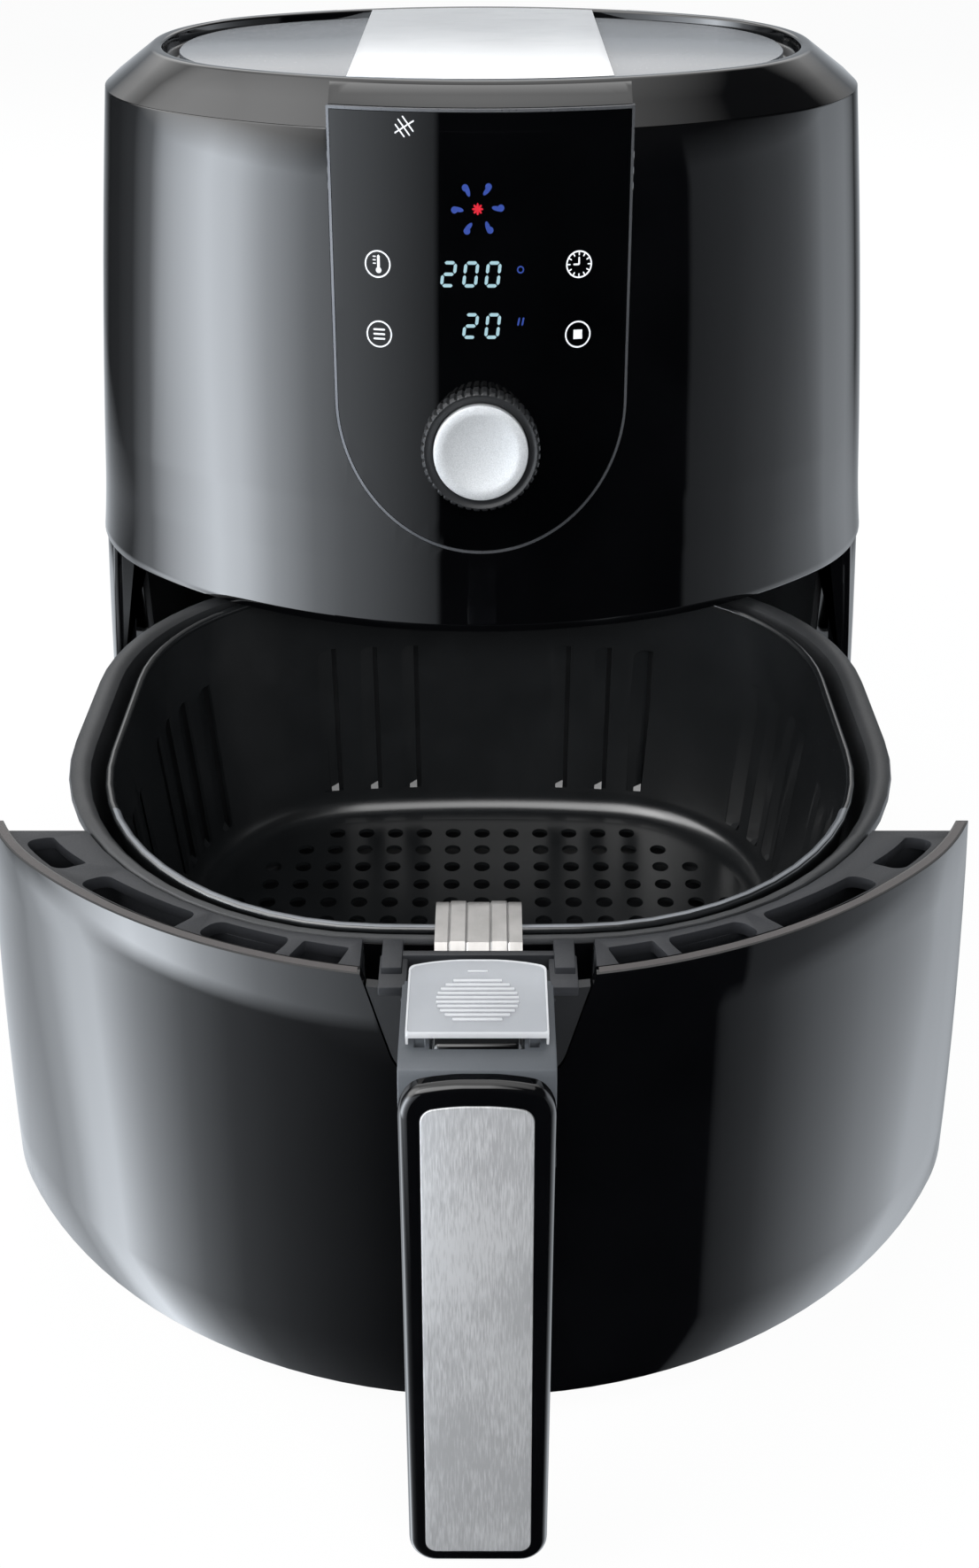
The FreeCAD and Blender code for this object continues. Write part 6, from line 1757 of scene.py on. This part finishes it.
@dataclass
class Inner:
    """CAD nodes that stay as they are and only take a finish."""

    finishes: dict[str, Finish] = field(default_factory=lambda: {
        "base_cover": MATTE, "rubber_feet": RUBBER, "housing_screws": GREY_SHEET, "encoder": SATIN,
        "push_switch": SATIN, "control_board": BOARD, "display_module": WHITE, "touch_pads": BRASS,
        "chamber_plate": GREY_SHEET, "heat_shield": SHEET, "heating_element": HEATER, "element_guard": SHEET,
        "convection_fan": SHEET, "cooling_fan": GREY_SHEET, "motor_shaft": SHEET, "motor_bracket": GREY_SHEET,
        "fan_motor": GREY_SHEET, "exhaust_grille": MATTE, "cord_gland": RUBBER, "power_board": BOARD,
        "drawer_switch": SATIN, "temperature_probe": SHEET, "latch_hook": SATIN, "release_spring": SHEET,
        "handle_screws": GREY_SHEET,
    })

    def dress(self) -> None:
        """Give each node its finish."""
        for name, finish in self.finishes.items():
            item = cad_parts[name]
            item.data.materials.clear()
            item.data.materials.append(finish.material())
            LOG.info("%s: dressed", name)


Screens = tuple[Pair, ...]


@dataclass(frozen=True)
class Glow:
    """A soft round light panel that only reflections show."""

    towards: Point
    outer: float
    inner: float
    level: float

    def wire(self, tree: Tree, way: Socket) -> Socket:
        """Brightness of the panel in a direction.

        Args:
            tree: Node tree to work in.
            way: The direction.

        Returns:
            The brightness there.
        """
        near = tree.math("DOT_PRODUCT", way, Vector(self.towards).normalized(), "VectorMath")
        outer, inner = math.radians(self.outer), math.radians(self.inner)
        return tree.span(near, math.cos(outer), math.cos(inner), 0.0, self.level)


@dataclass(frozen=True)
class Lamp:
    """A soft box that neither the camera nor a reflection shows, with its power in watts."""

    name: str
    place: Point
    aim: Point
    size: Pair
    power: float

    def build(self) -> None:
        """Add the lamp to the scene."""
        data = bpy.data.lights.new(self.name, "AREA")
        data.shape = "RECTANGLE"
        data.size, data.size_y = self.size
        data.energy = self.power
        item = bpy.data.objects.new(self.name, data)
        item.location = self.place
        item.rotation_euler = (Vector(self.aim) - Vector(self.place)).to_track_quat("-Z", "Y").to_euler()
        item.visible_camera = False
        item.visible_glossy = False
        bpy.context.scene.collection.objects.link(item)


@dataclass
class Studio:
    """Pale floor, soft lamps, graded screens for reflections and the camera.

    The screens give brightness by the direction round the object, in degrees from the front.
    """

    lens: float = 38.62
    eye: Point = (0.003, -0.547, 0.425)
    pitch: float = 32.5
    tint: Point = (0.88, 0.935, 1.0)
    room: float = 0.42
    dusk: float = 0.04
    floor_size: float = 12.0
    floor_tone: float = 0.86
    floor_glow: float = 0.95
    low_edge: Pair = (-0.36, -0.25)
    sky_edge: Pair = (0.2, 0.4)
    level_screens: Screens = (
        (-180.0, 0.5), (-160.0, 0.6), (-140.0, 0.05), (-124.0, 0.12), (-107.0, 0.36), (-91.0, 1.9),
        (-77.0, 8.5), (-68.0, 13.0), (-60.0, 11.5), (-52.0, 7.0), (-41.0, 3.4), (-33.0, 2.2), (-21.5, 1.3),
        (-10.6, 0.55), (-10.2, 0.0), (50.0, 0.0), (50.5, 0.33), (62.0, 0.48), (75.0, 0.85), (100.0, 2.2),
        (125.0, 1.3), (142.0, 0.1), (160.0, 0.6), (180.0, 0.5),
    )
    low_screens: Screens = (
        (-180.0, 0.4), (-123.0, 1.4), (-107.0, 1.6), (-98.0, 2.8), (-90.0, 5.4), (-83.0, 6.8), (-71.0, 3.7),
        (-59.0, 1.6), (-49.0, 0.72), (-39.0, 0.42), (-30.0, 0.25), (-18.5, 0.1), (-8.0, 0.0), (46.0, 0.0),
        (46.5, 0.24), (56.0, 0.5), (69.0, 1.25), (85.0, 2.0), (108.0, 2.3), (123.0, 1.5), (148.0, 0.5),
        (180.0, 0.4),
    )
    glows: tuple[Glow, ...] = (
        Glow((-0.1, 0.9, 0.45), 50.0, 10.0, 2.0),
        Glow((-0.25, -0.58, 0.8), 26.0, 12.0, 5.0),
        Glow((-0.8, -0.15, 0.6), 42.0, 12.0, 5.0),
        Glow((0.0, 0.1, 1.0), 34.0, 12.0, 1.8),
    )
    lamps: tuple[Lamp, ...] = (
        Lamp("back_soft_box", (0.0, 1.3, 1.15), (0.0, 0.0, 0.2), (1.8, 0.9), 24.0),
        Lamp("left_soft_box", (-1.2, -0.5, 1.1), (0.0, 0.0, 0.15), (0.9, 1.2), 16.0),
        Lamp("front_soft_box", (0.3, -1.5, 1.0), (0.0, 0.0, 0.15), (1.2, 0.7), 22.0),
    )

    def build(self) -> None:
        """Set up everything round the object."""
        bpy.context.scene.view_settings.view_transform = "Standard"
        self.world()
        self.floor()
        for lamp in self.lamps:
            lamp.build()
        self.camera()

    def camera(self) -> None:
        """Camera at the photograph's viewing angle."""
        data = bpy.data.cameras.new("camera")
        data.lens = self.lens
        data.clip_start = 0.01
        item = bpy.data.objects.new("camera", data)
        item.location = self.eye
        item.rotation_euler = (math.radians(90.0 - self.pitch), 0.0, 0.0)
        bpy.context.scene.collection.objects.link(item)
        bpy.context.scene.camera = item

    def screens(self, tree: Tree, turn: Socket, stops: Screens) -> Socket:
        """Brightness of the screens in a direction.

        Args:
            tree: Node tree to work in.
            turn: The direction, from 0 to 1 for a full turn.
            stops: Direction in degrees and brightness.

        Returns:
            The colour there.
        """
        colours = []
        for angle, level in stops:
            colours.append((angle / 360.0 + 0.5, tuple(level * share for share in self.tint)))
        return tree.ramp(turn, colours)

    def world(self) -> None:
        """Even pale light for surfaces, and screens that reflections see."""
        world = bpy.data.worlds.new("studio")
        world.use_nodes = True
        bpy.context.scene.world = world
        tree = Tree(world.node_tree)
        towards = tree.add("TexCoord").outputs["Generated"]
        way = tree.add("SeparateXYZ", Vector=towards).outputs
        turn = tree.math("ARCTAN2", way["X"], tree.math("MULTIPLY", way["Y"], -1.0))
        turn = tree.span(turn, -math.pi, math.pi)
        level = self.screens(tree, turn, self.level_screens)
        low = self.screens(tree, turn, self.low_screens)
        sides = tree.blend(tree.span(way["Z"], *self.low_edge), low, level)
        sky = self.dusk
        for glow in self.glows:
            sky = tree.math("ADD", glow.wire(tree, towards), sky)
        seen = tree.blend(tree.span(way["Z"], *self.sky_edge), sides, sky)
        shown = tree.add("Background", Color=seen, Strength=1.0)
        plain_light = tree.first("BACKGROUND")
        tree.set(plain_light, Color=(*self.tint, 1.0), Strength=self.room)
        glossy = tree.add("LightPath").outputs["Is Glossy Ray"]
        mixed = tree.mix(glossy, plain_light.outputs["Background"], shown.outputs["Background"])
        tree.set(tree.first("OUTPUT_WORLD"), Surface=mixed)

    def floor(self) -> None:
        """Pale floor that keeps a soft shadow and stays out of reflections."""
        form = Form()
        bmesh.ops.create_grid(form.mesh, x_segments=1, y_segments=1, size=self.floor_size)
        item = form.item("floor")
        form.mesh.free()
        material = bpy.data.materials.new("floor")
        material.use_nodes = True
        tree = Tree(material.node_tree)
        tree.nodes.remove(tree.first("BSDF_PRINCIPLED"))
        tone = self.floor_tone
        lit = tree.add("BsdfDiffuse", Color=(tone, tone, tone, 1.0))
        glow = tree.add("Emission", Strength=1.0)
        path = tree.add("LightPath").outputs
        seen = tree.math("MAXIMUM", path["Is Camera Ray"], path["Is Transmission Ray"])
        share = tree.math("MULTIPLY", seen, self.floor_glow)
        mixed = tree.mix(share, lit.outputs["BSDF"], glow.outputs["Emission"])
        tree.set(tree.first("OUTPUT_MATERIAL"), Surface=mixed)
        item.data.materials.append(material)
        item.visible_glossy = False


def main() -> None:
    """Build the studio and every sub-assembly, then give the inner CAD nodes their finishes."""
    logging.basicConfig(level=logging.INFO, format="%(name)s %(message)s")
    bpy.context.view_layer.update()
    for assembly in (Studio(), Housing(), ControlPanel(), Dial(), Drawer(), Handle()):
        assembly.build()
    Inner().dress()


if __name__ == "__main__":
    main()
